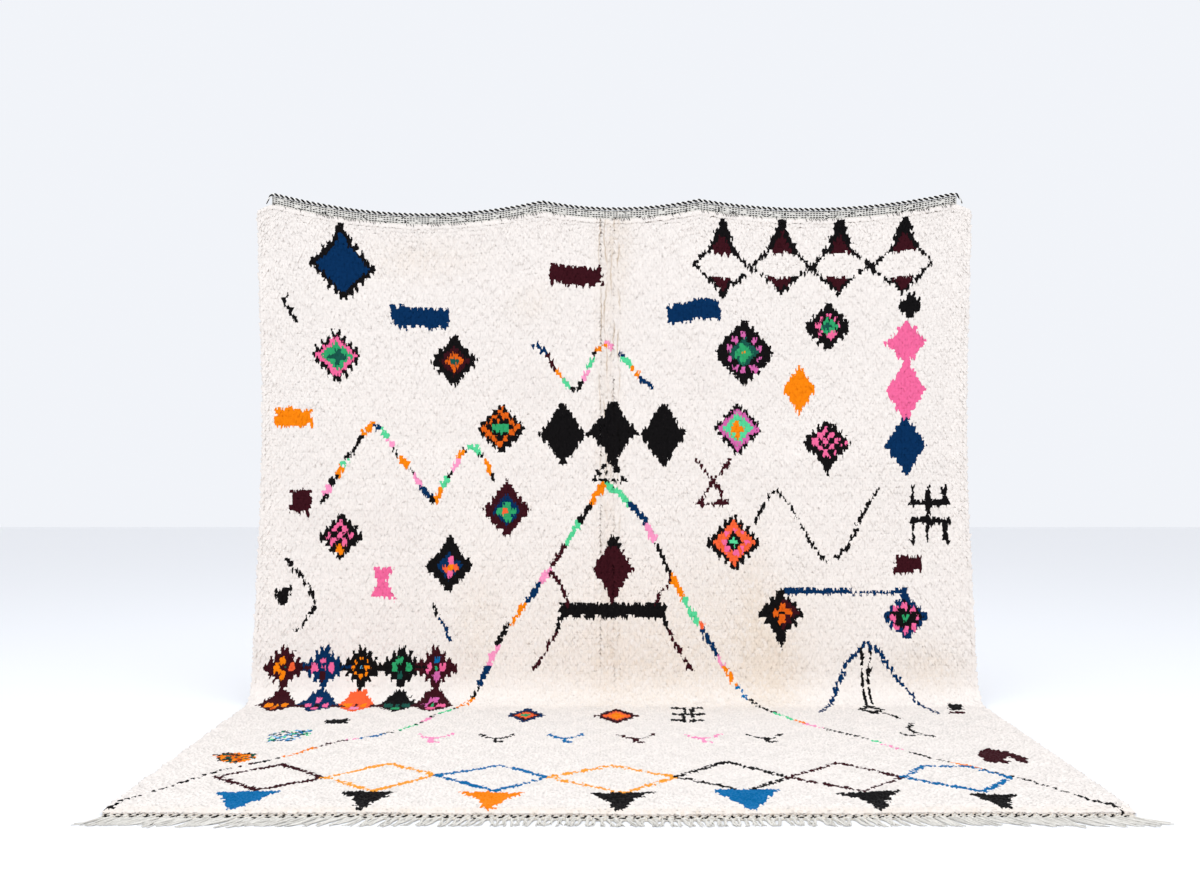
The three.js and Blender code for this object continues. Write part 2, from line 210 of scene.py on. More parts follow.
# %% Places and directions on the cloth
def cloth(across, down, out):
    across, down, out = np.broadcast_arrays(np.asarray(across, float), down, out)
    inside = np.clip(down, 0, FIELD_LONG)
    line = [np.interp(inside, fall_at, fall[:, k]) for k in (0, 1)]
    way = [np.interp(inside, fall_at, fall_way[:, k]) for k in (0, 1)]
    forward = out + relief(across, inside) * lifted(inside)
    past = np.maximum(np.abs(across) - (FIELD_HALF - CORNER["wide"]), 0) / CORNER["wide"]
    sag = (HEAD[1] - head_height(across)) * np.exp(-((inside / SAG_FADE) ** 2))
    droop = CORNER["droop"] * past**2 * np.exp(-inside / CORNER["fade"])
    reach = foot_line(across) * smooth((inside - HEEL_LONG) / (FIELD_LONG - HEEL_LONG))
    waist = WAIST * np.sin(np.minimum(inside / HUNG_LONG, 1) * np.pi) ** 2
    x = across * (1 - waist)
    y = line[0] + way[1] * forward - reach
    z = line[1] - way[0] * forward - (sag + droop) * lifted(inside)
    return np.stack([x, y, z], -1) + FRAME_PLACE


def unit(vectors):
    return vectors / np.linalg.norm(vectors, axis=-1, keepdims=True)


def directions(across, down, step=0.004):
    """The unit vectors that run across, down and out at a place on the cloth."""
    sideways = cloth(across + step, down, 0) - cloth(across - step, down, 0)
    downwards = cloth(across, down + step, 0) - cloth(across, np.maximum(down - step, 0), 0)
    return unit(sideways), unit(downwards), unit(np.cross(downwards, sideways))


print("middle of the head", np.round(cloth(0, 0, 0), 3))
print("middle of the foot", np.round(cloth(0, FIELD_LONG, 0), 3))

# %% [markdown]
# ## The knots
#
# The field is a grid of knots, about 12 mm apart. Two arrays hold where each knot lies across and down,
# and each later array has one value for each knot. Random numbers come from one generator with a fixed
# seed, so that the rug is the same each time.

# %% The grid of knots
COLUMNS = 252
ROWS = 304
KNOT_WIDE = FIELD_WIDE / COLUMNS
KNOT_TALL = FIELD_LONG / ROWS
chance = np.random.default_rng(7)

knot_across, knot_down = np.meshgrid(
    (np.arange(COLUMNS) + 0.5) * KNOT_WIDE - FIELD_HALF,
    (np.arange(ROWS) + 0.5) * KNOT_TALL,
)
print(COLUMNS * ROWS, "knots,", round(KNOT_WIDE * 1000, 1), "by", round(KNOT_TALL * 1000, 1), "mm")

# %% [markdown]
# ## The dyed wools
#
# A country weaver works with a few dyed wools beside the undyed cream. They have plain names here, with the
# red, green and blue that they show in daylight. Blender adds light in a linear measure, so each colour is
# turned into that once, here.

# %% The wools
WOOLS = {
    "cream": (244, 236, 229),
    "black": (18, 16, 17),
    "navy": (4, 46, 88),
    "maroon": (58, 17, 25),
    "orange": (250, 134, 10),
    "amber": (252, 164, 56),
    "pink": (244, 106, 156),
    "rose": (250, 152, 194),
    "orchid": (212, 102, 168),
    "mint": (88, 214, 150),
    "green": (48, 164, 104),
    "spruce": (24, 84, 72),
    "coral": (248, 100, 54),
    "rust": (226, 98, 22),
    "blue": (4, 108, 166),
    "sky": (120, 186, 226),
}
WOOL_NAMES = list(WOOLS)


def linear(colour):
    share = np.asarray(colour, float) / 255
    return np.where(share <= 0.04045, share / 12.92, ((share + 0.055) / 1.055) ** 2.4)


wool_colours = np.array([linear(WOOLS[name]) for name in WOOL_NAMES])
print(len(WOOLS), "wools")

# %% [markdown]
# ## Tools for charting signs
#
# The signs are the traditional ones of such rugs: lozenges, bars, combs, zigzags and triangles, tied in
# freely as the weaver goes. Each tool below asks for places in centimetres on the cloth, across from the
# middle and down from the head, and gives the knots inside the sign their wool. No weaver follows a ruler,
# so the edges of bars and lines waver by about half a knot, and every second knot of a lozenge's rim juts
# out, which gives the toothed edge of a hand-knotted sign.

# %% Charting tools
WAVER = 0.5  # centimetres
SPIRE_FROM = 2.5  # knots, from a lozenge's point back to where its spire or tail begins
SPIRE_HALF = 2.8  # knots, half the width there
SPIRE_FADE = 3  # knots by which the taper is longer than the spire
THIN_BLACK = 0.8
chart = np.zeros((ROWS, COLUMNS), int)
chart_across, chart_down = knot_across / CM, knot_down / CM
hand_across = chart_across + chance.uniform(-WAVER, WAVER, chart.shape)
hand_down = chart_down + chance.uniform(-WAVER, WAVER, chart.shape)


def tie(knots, wool):
    chart[knots] = WOOL_NAMES.index(wool)


def knots_from(place):
    """How many knots across and down each knot lies from the one that is nearest to a place."""
    column = round((place[0] * CM + FIELD_HALF) / KNOT_WIDE - 0.5)
    row = round(place[1] * CM / KNOT_TALL - 0.5)
    return np.meshgrid(np.arange(COLUMNS) - column, np.arange(ROWS) - row)


def lozenge(place, half, rings, teeth=1.2, spire=0, tail=0):
    """A lozenge from its half width and half height. rings gives each ring's outer edge, from 1 at the
    points to 0 in the middle, and its wool, or two wools for a check. teeth, spire and tail are lengths in
    knots, of the jutting knots and of the drawn-out points above and below."""
    aside, below = knots_from(place)
    wide, tall = half[0] * CM / KNOT_WIDE, half[1] * CM / KNOT_TALL
    reach = np.abs(aside) / wide + np.abs(below) / tall
    for drawn, way in ((spire, -1), (tail, 1)):
        past = way * below - tall + SPIRE_FROM
        if drawn:
            half_here = SPIRE_HALF * (1 - past / (drawn + SPIRE_FADE))
            tie((past > 0) & (np.abs(aside) < half_here), rings[0][1])
    for n, (edge, *wools) in enumerate(rings):
        jut = teeth / tall * (aside % 2) if n == 0 else 0
        inside = (reach < edge + jut) & (np.abs(aside) < edge * wide)
        tie(inside, wools[0])
        if len(wools) > 1:
            count = (aside + 1) // 2 + (below + 1) // 2
            tie(inside & (count % 2 == 0), wools[1])


def cross(place, arms, wool, thick=1.3):
    across, down = np.abs(chart_across - place[0]), np.abs(chart_down - place[1])
    tie((across < arms[0]) & (down < thick) | (across < thick) & (down < arms[1]), wool)


def petals(place, far, wools, half=(1.25, 1.25)):
    """Small blobs round a place, from the top on clockwise. far is how far out they lie across and down."""
    for n, wool in enumerate(wools):
        turn = n / len(wools) * 2 * math.pi
        middle = place[0] + far[0] * math.sin(turn), place[1] - far[1] * math.cos(turn)
        inside = (np.abs(chart_across - middle[0]) < half[0]) & (np.abs(chart_down - middle[1]) < half[1])
        tie(inside, wool)


def between(corners):
    """The knots inside straight lines from corner to corner."""
    inside = np.zeros(chart.shape, bool)
    for (a, b), (c, d) in zip(corners, corners[1:] + corners[:1]):
        if b != d:
            meets = a + (hand_down - b) * (c - a) / (d - b)
            inside ^= ((hand_down < b) != (hand_down < d)) & (hand_across < meets)
    return inside


def patch(corners, wool):
    tie(between(corners), wool)


def mixture(corners, wools, share):
    """A patch of leftover ends, tied in any order with undyed knots between."""
    inside = between(corners) & (chance.random(chart.shape) < share)
    chart[inside] = [WOOL_NAMES.index(wool) for wool in chance.choice(wools, int(inside.sum()))]


def trail(points, wools, wide=2.3, worn=0.0, stretch=1.0):
    """Knots along straight lines from point to point. wools gives each stretch's wool and its share of
    the way. worn is the share of knots that are missing, and stretch makes the line thicker down the cloth
    than across it. wide and worn may each be a pair, for the start and the end. Black yarn is thin, and its
    stretches are thinner too."""
    points = np.array(points, float)
    step = np.diff(points, axis=0)
    long = np.hypot(*step.T)
    start = np.r_[0, np.cumsum(long)]
    nearest = np.full(chart.shape, np.inf)
    along = np.zeros(chart.shape)
    for (a, b), (da, db), size, first in zip(points, step, long, start):
        t = np.clip(((chart_across - a) * da + (chart_down - b) * db) / size**2, 0, 1)
        away = np.hypot(chart_across - a - t * da, (chart_down - b - t * db) / stretch)
        closer = away < nearest
        nearest = np.where(closer, away, nearest)
        along = np.where(closer, first + t * size, along)
    way = (0, start[-1])
    kept = chance.random(chart.shape) >= np.interp(along, way, np.broadcast_to(worn, 2))
    half = np.interp(along, way, np.broadcast_to(wide, 2)) / 2
    if isinstance(wools, str):
        wools = [(wools, 1)]
    ends = np.cumsum([share for _, share in wools]) * start[-1] / sum(share for _, share in wools)
    for n, (wool, _) in enumerate(wools):
        thin = THIN_BLACK if wool == "black" and len(wools) > 1 else 1
        here = (along <= ends[n] + 0.01) & (along > (ends[n - 1] if n else -1))
        tie(here & kept & (nearest < half * thin), wool)


def mirrored(points, middle):
    return [(2 * middle - across, down) for across, down in points]


print("an empty chart of", chart.shape, "knots")

# %% [markdown]
# ## The signs of the hung part
#
# The first signs below the head: a navy lozenge with a spire, bars, the four linked lozenges with their
# maroon tips, and a scatter of small lozenges, each with its own rings of wool.

# %% Signs near the head
lozenge((-117, 20.4), (13.6, 15.2), [(0.98, "black"), (0.82, "navy")], teeth=1.8)
patch([(-121.6, 11), (-119, 2.2), (-116, 2.2), (-112.8, 11)], "black")
patch([(-119.6, 12), (-118, 6), (-116.4, 6), (-114.4, 12)], "navy")
trail([(-141, 37.8), (-142.6, 40.7), (-140.3, 44.3), (-137.7, 48)], "black", wide=1.9, worn=0.15)
patch([(-97, 37.6), (-71.8, 38.2), (-71.4, 48.2), (-96, 47.2)], "navy")
patch([(-28.2, 21.8), (-5.6, 21.2), (-5, 29.8), (-28, 29.6)], "maroon")
patch([(22.7, 39.8), (45.2, 37.4), (45.9, 46.8), (22.7, 48.6)], "navy")

LINKS = [  # across, down, how far the left and the right point lie
    (46.2, 26.0, 12.2, 12.5),
    (71.8, 23.6, 12.8, 12.9),
    (96.8, 23.8, 12.1, 13.4),
    (124.4, 25.6, 14.2, 12.2),
]
for across, down, left, right in LINKS:
    point, base = down - 23.5, down - 9
    patch([(across - 1, point), (across + 1, point), (across + 7, base), (across - 7, base)], "black")
    patch([(across, down - 18), (across + 4.8, base), (across - 4.8, base)], "maroon")
    for side, far in ((-1, left), (1, right)):
        edge = [(side * 6.5, base), (side * far, down - 3), (side * 5.5, down + 3.6)]
        trail([(across + aside, low) for aside, low in edge], "black", wide=1.6, worn=0.14)
    patch([(across - 5.8, down + 2.4), (across + 5.8, down + 2.4), (across, down + 10.8)], "black")
    patch([(across - 4.6, down + 2), (across + 4.6, down + 2), (across, down + 8.5)], "maroon")

lozenge((-120.1, 62.9), (11.6, 12), [(0.92, "black"), (0.76, "pink"), (0.54, "green")], teeth=1.6)
cross((-120.1, 62.9), (4.2, 3.8), "spruce", thick=1.4)
RUST_RINGS = [(0.98, "black"), (0.62, "maroon"), (0.36, "rust"), (0.16, "spruce")]
lozenge((-70.1, 64), (10.6, 10.6), RUST_RINGS, spire=2, tail=1)
lozenge((-49.3, 95.3), (11, 11.6), [(0.92, "black"), (0.82, "rust", "black"), (0.42, "black")])
patch([(-53, 93.6), (-45.6, 93.6), (-45.6, 97), (-53, 97)], "green")
lozenge((56.2, 61.6), (13.4, 14.9), [(0.98, "black"), (0.46, "spruce"), (0.3, "green")])
petals((56.2, 61.6), (6.6, 7.8), ["orchid"] * 10, half=(1.2, 1.2))
cross((56.2, 61.6), (3.6, 4.6), "green", thick=1.2)
cross((56.2, 61.6), (0.9, 0.9), "orange", thick=0.9)
lozenge((93, 48.5), (10.5, 10.9), [(0.98, "black"), (0.46, "green"), (0.2, "spruce")])
petals((93, 48.5), (4.4, 4.8), ["pink"] * 8, half=(1.15, 1.15))
lozenge((53.8, 95.9), (11.3, 11.1), [(0.94, "black"), (0.8, "orchid"), (0.58, "mint")])
cross((53.8, 95.9), (3.4, 3.9), "orange", thick=1.2)
lozenge((92.5, 101.5), (10.6, 10.2), [(0.94, "black"), (0.8, "black", "pink")], tail=2.6)
lozenge((128, 41), (5.2, 5.6), [(1, "black")], teeth=1.4)
lozenge((125.9, 58), (8.7, 9.6), [(1, "pink")], teeth=0.6)
lozenge((126.1, 79), (8.7, 12.4), [(1, "pink")], teeth=0.6)
lozenge((126.1, 103.2), (8.5, 12.8), [(1, "navy")], teeth=0.8)
lozenge((80.8, 78.2), (7.2, 10.8), [(1, "orange")], teeth=0.6)
patch([(-147.5, 87), (-131.4, 87), (-131, 94.8), (-147, 95)], "orange")
print(int((chart > 0).sum()), "dyed knots so far")

# %% [markdown]
# ## The middle of the field
#
# Zigzags change their wool every few knots, as leftover yarn is used up. The great pointed sign in the
# middle is drawn the same way and runs on over the sweep, across the floor and out to both corners.

# %% Zigzags and the three joined lozenges
LEFT_ZIGZAG = [
    (-125.7, 127), (-121.7, 118), (-114.6, 106.5), (-108.3, 96), (-105, 93.9), (-101.5, 95.7),
    (-95.4, 105.4), (-84.2, 120), (-78.6, 127.6), (-76.3, 126), (-72.6, 117.8), (-68.8, 111.6),
    (-65.8, 105.4), (-61.5, 103.2), (-58.4, 106.4), (-55.3, 111.2), (-52.6, 118.5),
]
trail(LEFT_ZIGZAG, [
    ("black", 3), ("rose", 4), ("black", 4), ("orange", 4), ("mint", 4), ("black", 11), ("orange", 7),
    ("navy", 3), ("mint", 5), ("rose", 4), ("black", 5), ("orange", 5), ("black", 4), ("rose", 5),
    ("navy", 7), ("black", 3), ("orange", 5), ("mint", 5), ("black", 4), ("rose", 5), ("orange", 4),
    ("black", 2), ("mint", 6), ("black", 4), ("orange", 6), ("black", 3),
], worn=0.06)
CENTRE_ZIGZAG = [
    (-34.3, 58), (-30, 62), (-25.3, 70.2), (-19.7, 77.4), (-16.2, 78.3), (-12.7, 72.1), (-8.4, 60.8),
    (-4, 56.6), (-1, 57.5), (3.3, 62.7), (8.1, 68.8), (11.2, 73.4), (16.4, 77.1),
]
trail(CENTRE_ZIGZAG, [
    ("navy", 6), ("maroon", 6), ("orange", 5), ("mint", 4), ("black", 7), ("rose", 5), ("mint", 5),
    ("black", 3), ("orange", 4), ("rose", 5), ("navy", 4), ("mint", 5), ("orange", 5), ("navy", 6),
], wide=2.1, worn=0.1)
for across, down in ((-21.9, 97.9), (-1.0, 97.5), (20.7, 97.7)):
    lozenge((across, down), (9.8, 13.6), [(1, "black")], teeth=0.8)
trail([(-13, 98.4), (12, 98.4)], "black", wide=2.2)
print(int((chart > 0).sum()), "dyed knots so far")

# %% The great pointed sign
TOP = (-4, 119)
LEFT_LEG = [
    TOP, (-14.8, 136), (-18.3, 142), (-25.5, 153), (-33.9, 166), (-46.5, 182), (-55, 201), (-61.4, 217.8),
    (-70.6, 235.9), (-76, 256), (-81.8, 270), (-89.5, 280.8), (-99.6, 288), (-105.5, 296), (-113.5, 312),
    (-120.5, 322), (-131, 334.8), (-137.5, 347.6), (-145, 365), (-150.4, 376), (-151.2, 384.6),
]
LEFT_WOOLS = [
    ("orange", 12), ("black", 10), ("mint", 12), ("maroon", 12), ("rose", 9), ("navy", 11), ("orange", 11),
    ("black", 12), ("rose", 10), ("navy", 12), ("black", 5), ("orange", 14), ("black", 3), ("mint", 12),
    ("black", 8), ("rose", 10), ("black", 6), ("mint", 12), ("black", 9), ("blue", 12), ("rose", 6),
    ("maroon", 16), ("orange", 18), ("black", 14), ("maroon", 10), ("black", 60),
]
trail(LEFT_LEG, LEFT_WOOLS, wide=(2.6, 1.4), worn=(0, 0.36))
RIGHT_LEG = [
    TOP, (4.6, 126.5), (13.2, 136), (20, 150), (24, 159), (30.1, 170.2), (42.6, 191), (50, 204.5),
    (58.4, 217.8), (64.6, 235.9), (72, 254), (81.4, 269.8), (91.2, 282.7), (100.9, 303), (109.5, 319),
    (118.8, 329.6), (129, 343.5), (136.8, 358.6), (144.3, 374), (149.5, 384.5),
]
RIGHT_WOOLS = [
    ("mint", 15), ("navy", 11), ("rose", 10), ("black", 16), ("orange", 12), ("mint", 13), ("coral", 3),
    ("navy", 13), ("rose", 6), ("orange", 11), ("blue", 8), ("black", 24), ("mint", 16), ("orange", 9),
    ("rose", 12), ("black", 26), ("mint", 8), ("rose", 12), ("black", 24), ("orange", 14), ("black", 60),
]
trail(RIGHT_LEG, RIGHT_WOOLS, wide=(2.6, 1.4), worn=(0, 0.4))

trail([(-8.4, 118.6), (-2.2, 107.6), (4.4, 118.6)], "black", wide=1.5, worn=0.12)
trail([(-9.2, 118.9), (5.2, 118.9)], "black", wide=1.4, worn=0.1)
trail([(-4.4, 114.4), (0.4, 114.4)], "black", wide=1.3, worn=0.2)
lozenge((-0.2, 156.4), (8.8, 12.6), [(0.98, "maroon")], teeth=0.8)
patch([(-2.8, 147), (-1, 142.6), (0.8, 142.6), (2.6, 147)], "black")
trail([(-0.6, 167), (-0.6, 172)], "maroon", wide=2.4)
patch([(-23.4, 171.2), (21.6, 171.2), (21.6, 177), (-23.4, 177)], "black")
trail([(-27.4, 158), (-24.1, 161.7), (-20.7, 167.7), (-19.6, 172)], "maroon", wide=1.5, worn=0.08)
trail([(23.2, 159), (23.2, 163.4), (19.5, 166.8), (17.2, 172)], "maroon", wide=1.5, worn=0.08)
BAR_LEGS = [
    [(-22.6, 177), (-24.4, 183), (-27.8, 188.4), (-34, 199)],
    [(21, 177), (23.2, 183), (26.5, 189.2), (32.4, 199.5)],
]
for leg in BAR_LEGS:
    trail(leg, [("black", 1), ("maroon", 3)], wide=1.8, worn=0.05)
print(int((chart > 0).sum()), "dyed knots so far")

# %% [markdown]
# ## The lower hung part
#
# Left: small lozenges, an hourglass and two rows of five joined lozenges that lie just on the sweep.
# Right: a dotted hourglass, a thin zigzag, combs, and two lozenges joined by a blue line above a plain
# pointed sign.

# %% Signs above the sweep, left of the middle
patch([(-139.8, 122.4), (-130.8, 122.8), (-131, 132.6), (-139.4, 132)], "maroon")
lozenge((-118.2, 142), (9.2, 9.6), [(0.98, "black"), (0.76, "black", "pink")])
patch([(-119.8, 146.2), (-116.6, 146.2), (-116.6, 150), (-119.8, 150)], "orange")
lozenge((-46.8, 131.7), (10.4, 11.2), [(0.98, "maroon"), (0.58, "navy")], spire=1)
cross((-46.8, 131.7), (4.2, 3.8), "green", thick=1.5)
cross((-46.8, 131.7), (1.2, 1.2), "coral", thick=1.2)
lozenge((-70.4, 155.7), (10.4, 10.8), [(0.98, "black"), (0.5, "navy")], spire=2)
cross((-70.4, 155.2), (0, 4.9), "pink", thick=1.3)
cross((-70.4, 156), (3.5, 0), "coral", thick=1.2)
cross((-70.4, 156), (1.2, 1.2), "orange", thick=1.2)
patch([(-104.6, 156), (-94.2, 156), (-98.2, 162), (-93.2, 169), (-105, 169), (-101.2, 162)], "pink")
patch([(-144.8, 164.6), (-138.8, 164), (-138.6, 171.6), (-144.6, 171.2)], "black")
trail([(-140.5, 152.3), (-133.3, 160.4), (-129.2, 166.8), (-127.6, 171.5), (-130.1, 176.5), (-137, 185.5)],
      "black", wide=1.6, worn=0.12)
trail([(-77.8, 170.2), (-75.1, 176.6), (-71.1, 182.1), (-69.7, 187.4)], [("black", 2), ("navy", 3)],
      wide=1.4, worn=0.15)

FIVES = [  # across, down, rim, petals from the top on clockwise, middle
    (-140.0, 198.5, "maroon", ["orange", "coral", "orange", "orange"], "spruce"),
    (-123.3, 198.5, "navy", ["pink", "pink", "maroon", "pink"], "pink"),
    (-107.3, 198.5, "black", ["orange"] * 8, "sky"),
    (-90.3, 198.5, "black", ["green", "green", "spruce", "green"], "black"),
    (-75.5, 198.5, "maroon", ["blue", "pink", "orchid", "pink"], "green"),
    (-140.0, 220.5, "maroon", ["maroon", "orange", "rust", "orange"], "orange"),
    (-123.3, 220.5, "navy", ["pink"] * 4, "black"),
    (-107.3, 220.5, "coral", ["coral", "orange", "rose", "orange"], "maroon"),
    (-90.3, 220.5, "black", ["black", "spruce", "green", "spruce"], "spruce"),
    (-75.5, 220.5, "maroon", ["orchid", "pink", "pink", "orchid"], "green"),
]
LOW_HALF = [(0, 208), (4.6, 212.2), (8.6, 219.8), (4.4, 227), (0, 233)]  # right half of a lower lozenge
for across, down, rim, wools, middle in FIVES:
    if down < 200:
        lozenge((across, down), (8.8, 8.6), [(0.98, rim)], teeth=1.3)
        blob, far, heart = (1.3, 1.4), (3.3, 3.7), 1.1
    else:
        edge = [(across + aside, low) for aside, low in LOW_HALF]
        patch(edge + mirrored(edge[3:0:-1], across), rim)
        blob, far, heart = (1.4, 2.5), (3.6, 5.6), 2.0
    petals((across, down), far, wools, half=blob if len(wools) == 4 else (0.9, 0.9))
    petals((across, down), (0, 0), [middle], half=(1.0, heart))
for left, link in ((-140, "maroon"), (-123.3, "navy"), (-107.3, "black"), (-90.3, "black")):
    trail([(left + 6, 198.5), (left + 11, 198.5)], link, wide=1.6)
    trail([(left + 6, 221.5), (left + 11, 221.5)], "maroon", wide=1.6, stretch=2)
for across, _, rim, *_ in FIVES[:5]:
    trail([(across, 206), (across, 210)], rim, wide=1.5)
print(int((chart > 0).sum()), "dyed knots so far")

# %% Signs above the sweep, right of the middle
trail([(35.8, 109.4), (43, 118.8), (50.5, 109.9)], "maroon", wide=1.4, worn=0.18)
trail([(43, 118.8), (37, 127.9)], "maroon", wide=1.4, worn=0.12)
trail([(43, 118.8), (49, 127.6)], "maroon", wide=1.4, worn=0.12)
trail([(34.6, 129), (49.4, 127.8)], "maroon", wide=1.7)
lozenge((51.9, 144.8), (11.5, 11.5), [(0.97, "black"), (0.78, "coral"), (0.34, "black"), (0.18, "mint")])
petals((51.9, 144.8), (4.9, 4.9), ["pink"] * 8, half=(0.9, 0.9))
THIN_ZIGZAG = [
    (60.7, 136.1), (63.3, 130.9), (70.3, 121.6), (76.5, 129.9), (82, 140.4), (85.5, 146.6), (90.5, 152.7),
    (96.3, 151.4), (101.8, 144.6), (108.5, 130.9), (114, 122.6),
]
trail(THIN_ZIGZAG, "black", wide=1.35, worn=0.2)
for down, tooth in ((128.6, -7), (136.2, 8)):
    trail([(128.2, down), (143.6, down - 0.6)], "black", wide=2.5)
    for across in (128.8, 143.2):
        trail([(across, down), (across, down + tooth)], "black", wide=2.1)
trail([(135.8, 121.6), (135.2, 143.6)], "black", wide=1.6)
patch([(120, 151.2), (132, 150.6), (132, 157.8), (120.3, 158.4)], "maroon")

NAVY_LINE = [
    (70.8, 170), (70.7, 166), (81.2, 165.7), (98, 166.4), (110.2, 166.9), (123.8, 166.4), (123.6, 171),
]
trail(NAVY_LINE, [("black", 1), ("navy", 9)], wide=2.2)
lozenge((71, 175.7), (9.6, 9.4), [(0.95, "black")], tail=4)
patch([(71.5, 169), (78.5, 175.7), (71.5, 182.5)], "maroon")
cross((71.4, 175.2), (3.6, 4.3), "rust", thick=1.3)
cross((71.4, 175.2), (0.8, 0.8), "black", thick=0.8)
lozenge((123.6, 177.4), (9.2, 9.4), [(0.97, "navy"), (0.8, "black")])
petals((123.6, 177.4), (5.2, 5.4), ["pink"] * 8, half=(1.1, 1.1))
cross((123.6, 177.4), (1.2, 1.2), "green", thick=1.2)
trail([(102.7, 192), (98, 197.2), (93.3, 208.7), (88, 222), (83, 233.5)], "navy", wide=1.8, worn=0.1)
trail([(112.5, 192), (119.8, 204), (124.8, 211.6), (127.4, 222), (130.5, 238)], "navy", wide=1.8, worn=0.1)
trail([(102.7, 192), (107.5, 188), (112.5, 192)], "navy", wide=1.8)
for side in (-1, 1):
    trail([(106.4 + 1.5 * side, 191), (105.6 + 1.5 * side, 222)], "black", wide=1.3, worn=0.15)
lozenge((105, 229), (5.4, 9), [(0.95, "black"), (0.5, "cream")])
trail([(108, 236), (113, 247)], "black", wide=1.6, worn=0.1)
patch([(138.6, 218), (144.6, 217.2), (142.8, 229.5), (136.8, 229.5)], "black")
patch([(135.6, 233), (142.4, 232.6), (141, 237.4), (134.6, 237.4)], "maroon")
print(int((chart > 0).sum()), "dyed knots so far")

# %% [markdown]
# ## The signs on the floor
#
# Near the foot run seven open lozenges with a filled triangle under each, and above them a row of small
# branching signs. Seen from the camera they are strongly foreshortened, so their true shapes are long.

# %% Signs on the floor
patch([(-114.2, 250.5), (-105.5, 247.2), (-104, 255.6), (-112, 258.4)], "black")
mixture([(-129.8, 276.5), (-126.2, 271.5), (-115, 268.5), (-114.2, 279), (-119, 288.5), (-127, 291)],
        ["spruce", "blue", "mint", "sky", "navy"], 0.62)
mixture([(-140.8, 314.3), (-135.5, 309.5), (-125, 310.5), (-125.2, 320), (-130.8, 325), (-136.8, 319.3)],
        ["orange", "rust", "spruce", "black", "orange"], 0.95)
trail([(-142, 314), (-136, 309.6), (-125, 311)], "black", wide=1.3, worn=0.4, stretch=1.5)

NAVY_RINGS = [(0.98, "navy"), (0.72, "maroon"), (0.52, "coral"), (0.26, "green")]
lozenge((-35.3, 240), (7.7, 14.4), NAVY_RINGS, teeth=0.8)
lozenge((0.9, 241), (9, 14.6), [(0.98, "maroon"), (0.66, "coral"), (0.44, "orange")], teeth=0.8)
for side in (-1, 1):
    trail([(30.2 + 1.6 * side, 224), (28.6 + 1.6 * side, 254)], "black", wide=1.5, worn=0.05)
    for down, middle in ((226, 30.1), (239, 29.4), (251.5, 28.7)):
        trail([(middle + 1.6 * side, down), (middle + 6 * side, down - 1)], "black", wide=1.6, stretch=2.4)
trail([(27.8, 239), (31, 239)], "black", wide=1.5, stretch=2)

BRANCHES = [  # across, wool
    (-67.5, "rose"), (-44, "black"), (-18.7, "blue"), (7.5, "maroon"), (32.5, "rose"), (55.7, "black"),
]
ARMS = [(-6.4, 277.5), (-3.6, 282.4), (0, 284.6), (3, 283), (6.2, 277)]  # from the middle, down
for across, wool in BRANCHES:
    trail([(across + aside, down) for aside, down in ARMS], wool, wide=1.5, worn=0.16, stretch=1.9)
    trail([(across, 284), (across - 0.4, 291), (across + 2.4, 290)], wool, wide=1.6, worn=0.08, stretch=1.5)
trail([(115.3, 256), (112.3, 266), (112.4, 276), (118.3, 281)], "black", wide=1.6, worn=0.08, stretch=1.5)
trail([(106.6, 274.6), (109, 280), (112.4, 278)], "black", wide=1.6, worn=0.08, stretch=1.5)

CLAW = [
    (127.4, 307), (132.6, 301.5), (138, 307.5), (141.5, 318), (140.6, 325), (137.6, 324), (136, 314.5),
    (133.8, 316), (133.6, 326.5), (130.6, 326), (130.6, 317), (129.8, 324.5), (126.8, 323.5), (126, 315),
]
patch(CLAW, "maroon")
print(int((chart > 0).sum()), "dyed knots so far")

# %% Open lozenges and triangles at the foot
OUTLINES = [  # wool, then the corners from the left point on clockwise
    ("maroon", (-130.8, 344), (-113.2, 326.3), (-95.2, 345), (-112.8, 361)),
    ("amber", (-95.2, 345), (-76.7, 325.3), (-59.7, 342), (-76.2, 363)),
    ("blue", (-59.7, 342), (-39.2, 327.2), (-22.3, 344), (-38.2, 362.4)),
    ("amber", (-22.3, 344), (-1.5, 327), (19.2, 342.8), (1.3, 364)),
    ("black", (19.2, 342.8), (37.5, 321.5), (55.6, 344.4), (40.3, 362.1)),
    ("maroon", (55.6, 344.4), (75.5, 323.2), (92.8, 345.6), (77, 362.4)),
    ("blue", (92.8, 345.6), (103, 329.8), (117.8, 329.8), (128, 345.1), (114.2, 364.6)),
]
for wool, *corners in OUTLINES:
    trail([*corners, corners[0]], wool, wide=2.2, worn=0.12, stretch=1.15)

TRIANGLES = [  # wool, upper left corner, upper right corner, across of the point
    ("blue", (-125.6, 364), (-104.6, 361.6), -115),
    ("black", (-87, 364.6), (-68, 363.4), -76.8),
    ("orange", (-50.4, 362.6), (-28.4, 364.6), -38.6),
    ("black", (-8.4, 364), (12, 361.8), 0.2),
    ("blue", (29.2, 360.4), (50.2, 360.4), 40),
    ("black", (66.6, 365), (89.2, 361.6), 78.4),
    ("black", (108.6, 366.4), (125.6, 367.4), 115.4),
]
for wool, left, right, point in TRIANGLES:
    neck = 6 if wool == "blue" else 5
    patch([left, right, (point + neck, 371), (point + 1, 384), (point - 1, 384), (point - neck, 371)], wool)
patch([(-152.2, 380), (-150.6, 380), (-150.6, 384), (-152.2, 384)], "black")
patch([(146.8, 378), (148.6, 379), (150.5, 383), (149, 383)], "black")
print(int((chart > 0).sum()), "dyed knots of", chart.size)

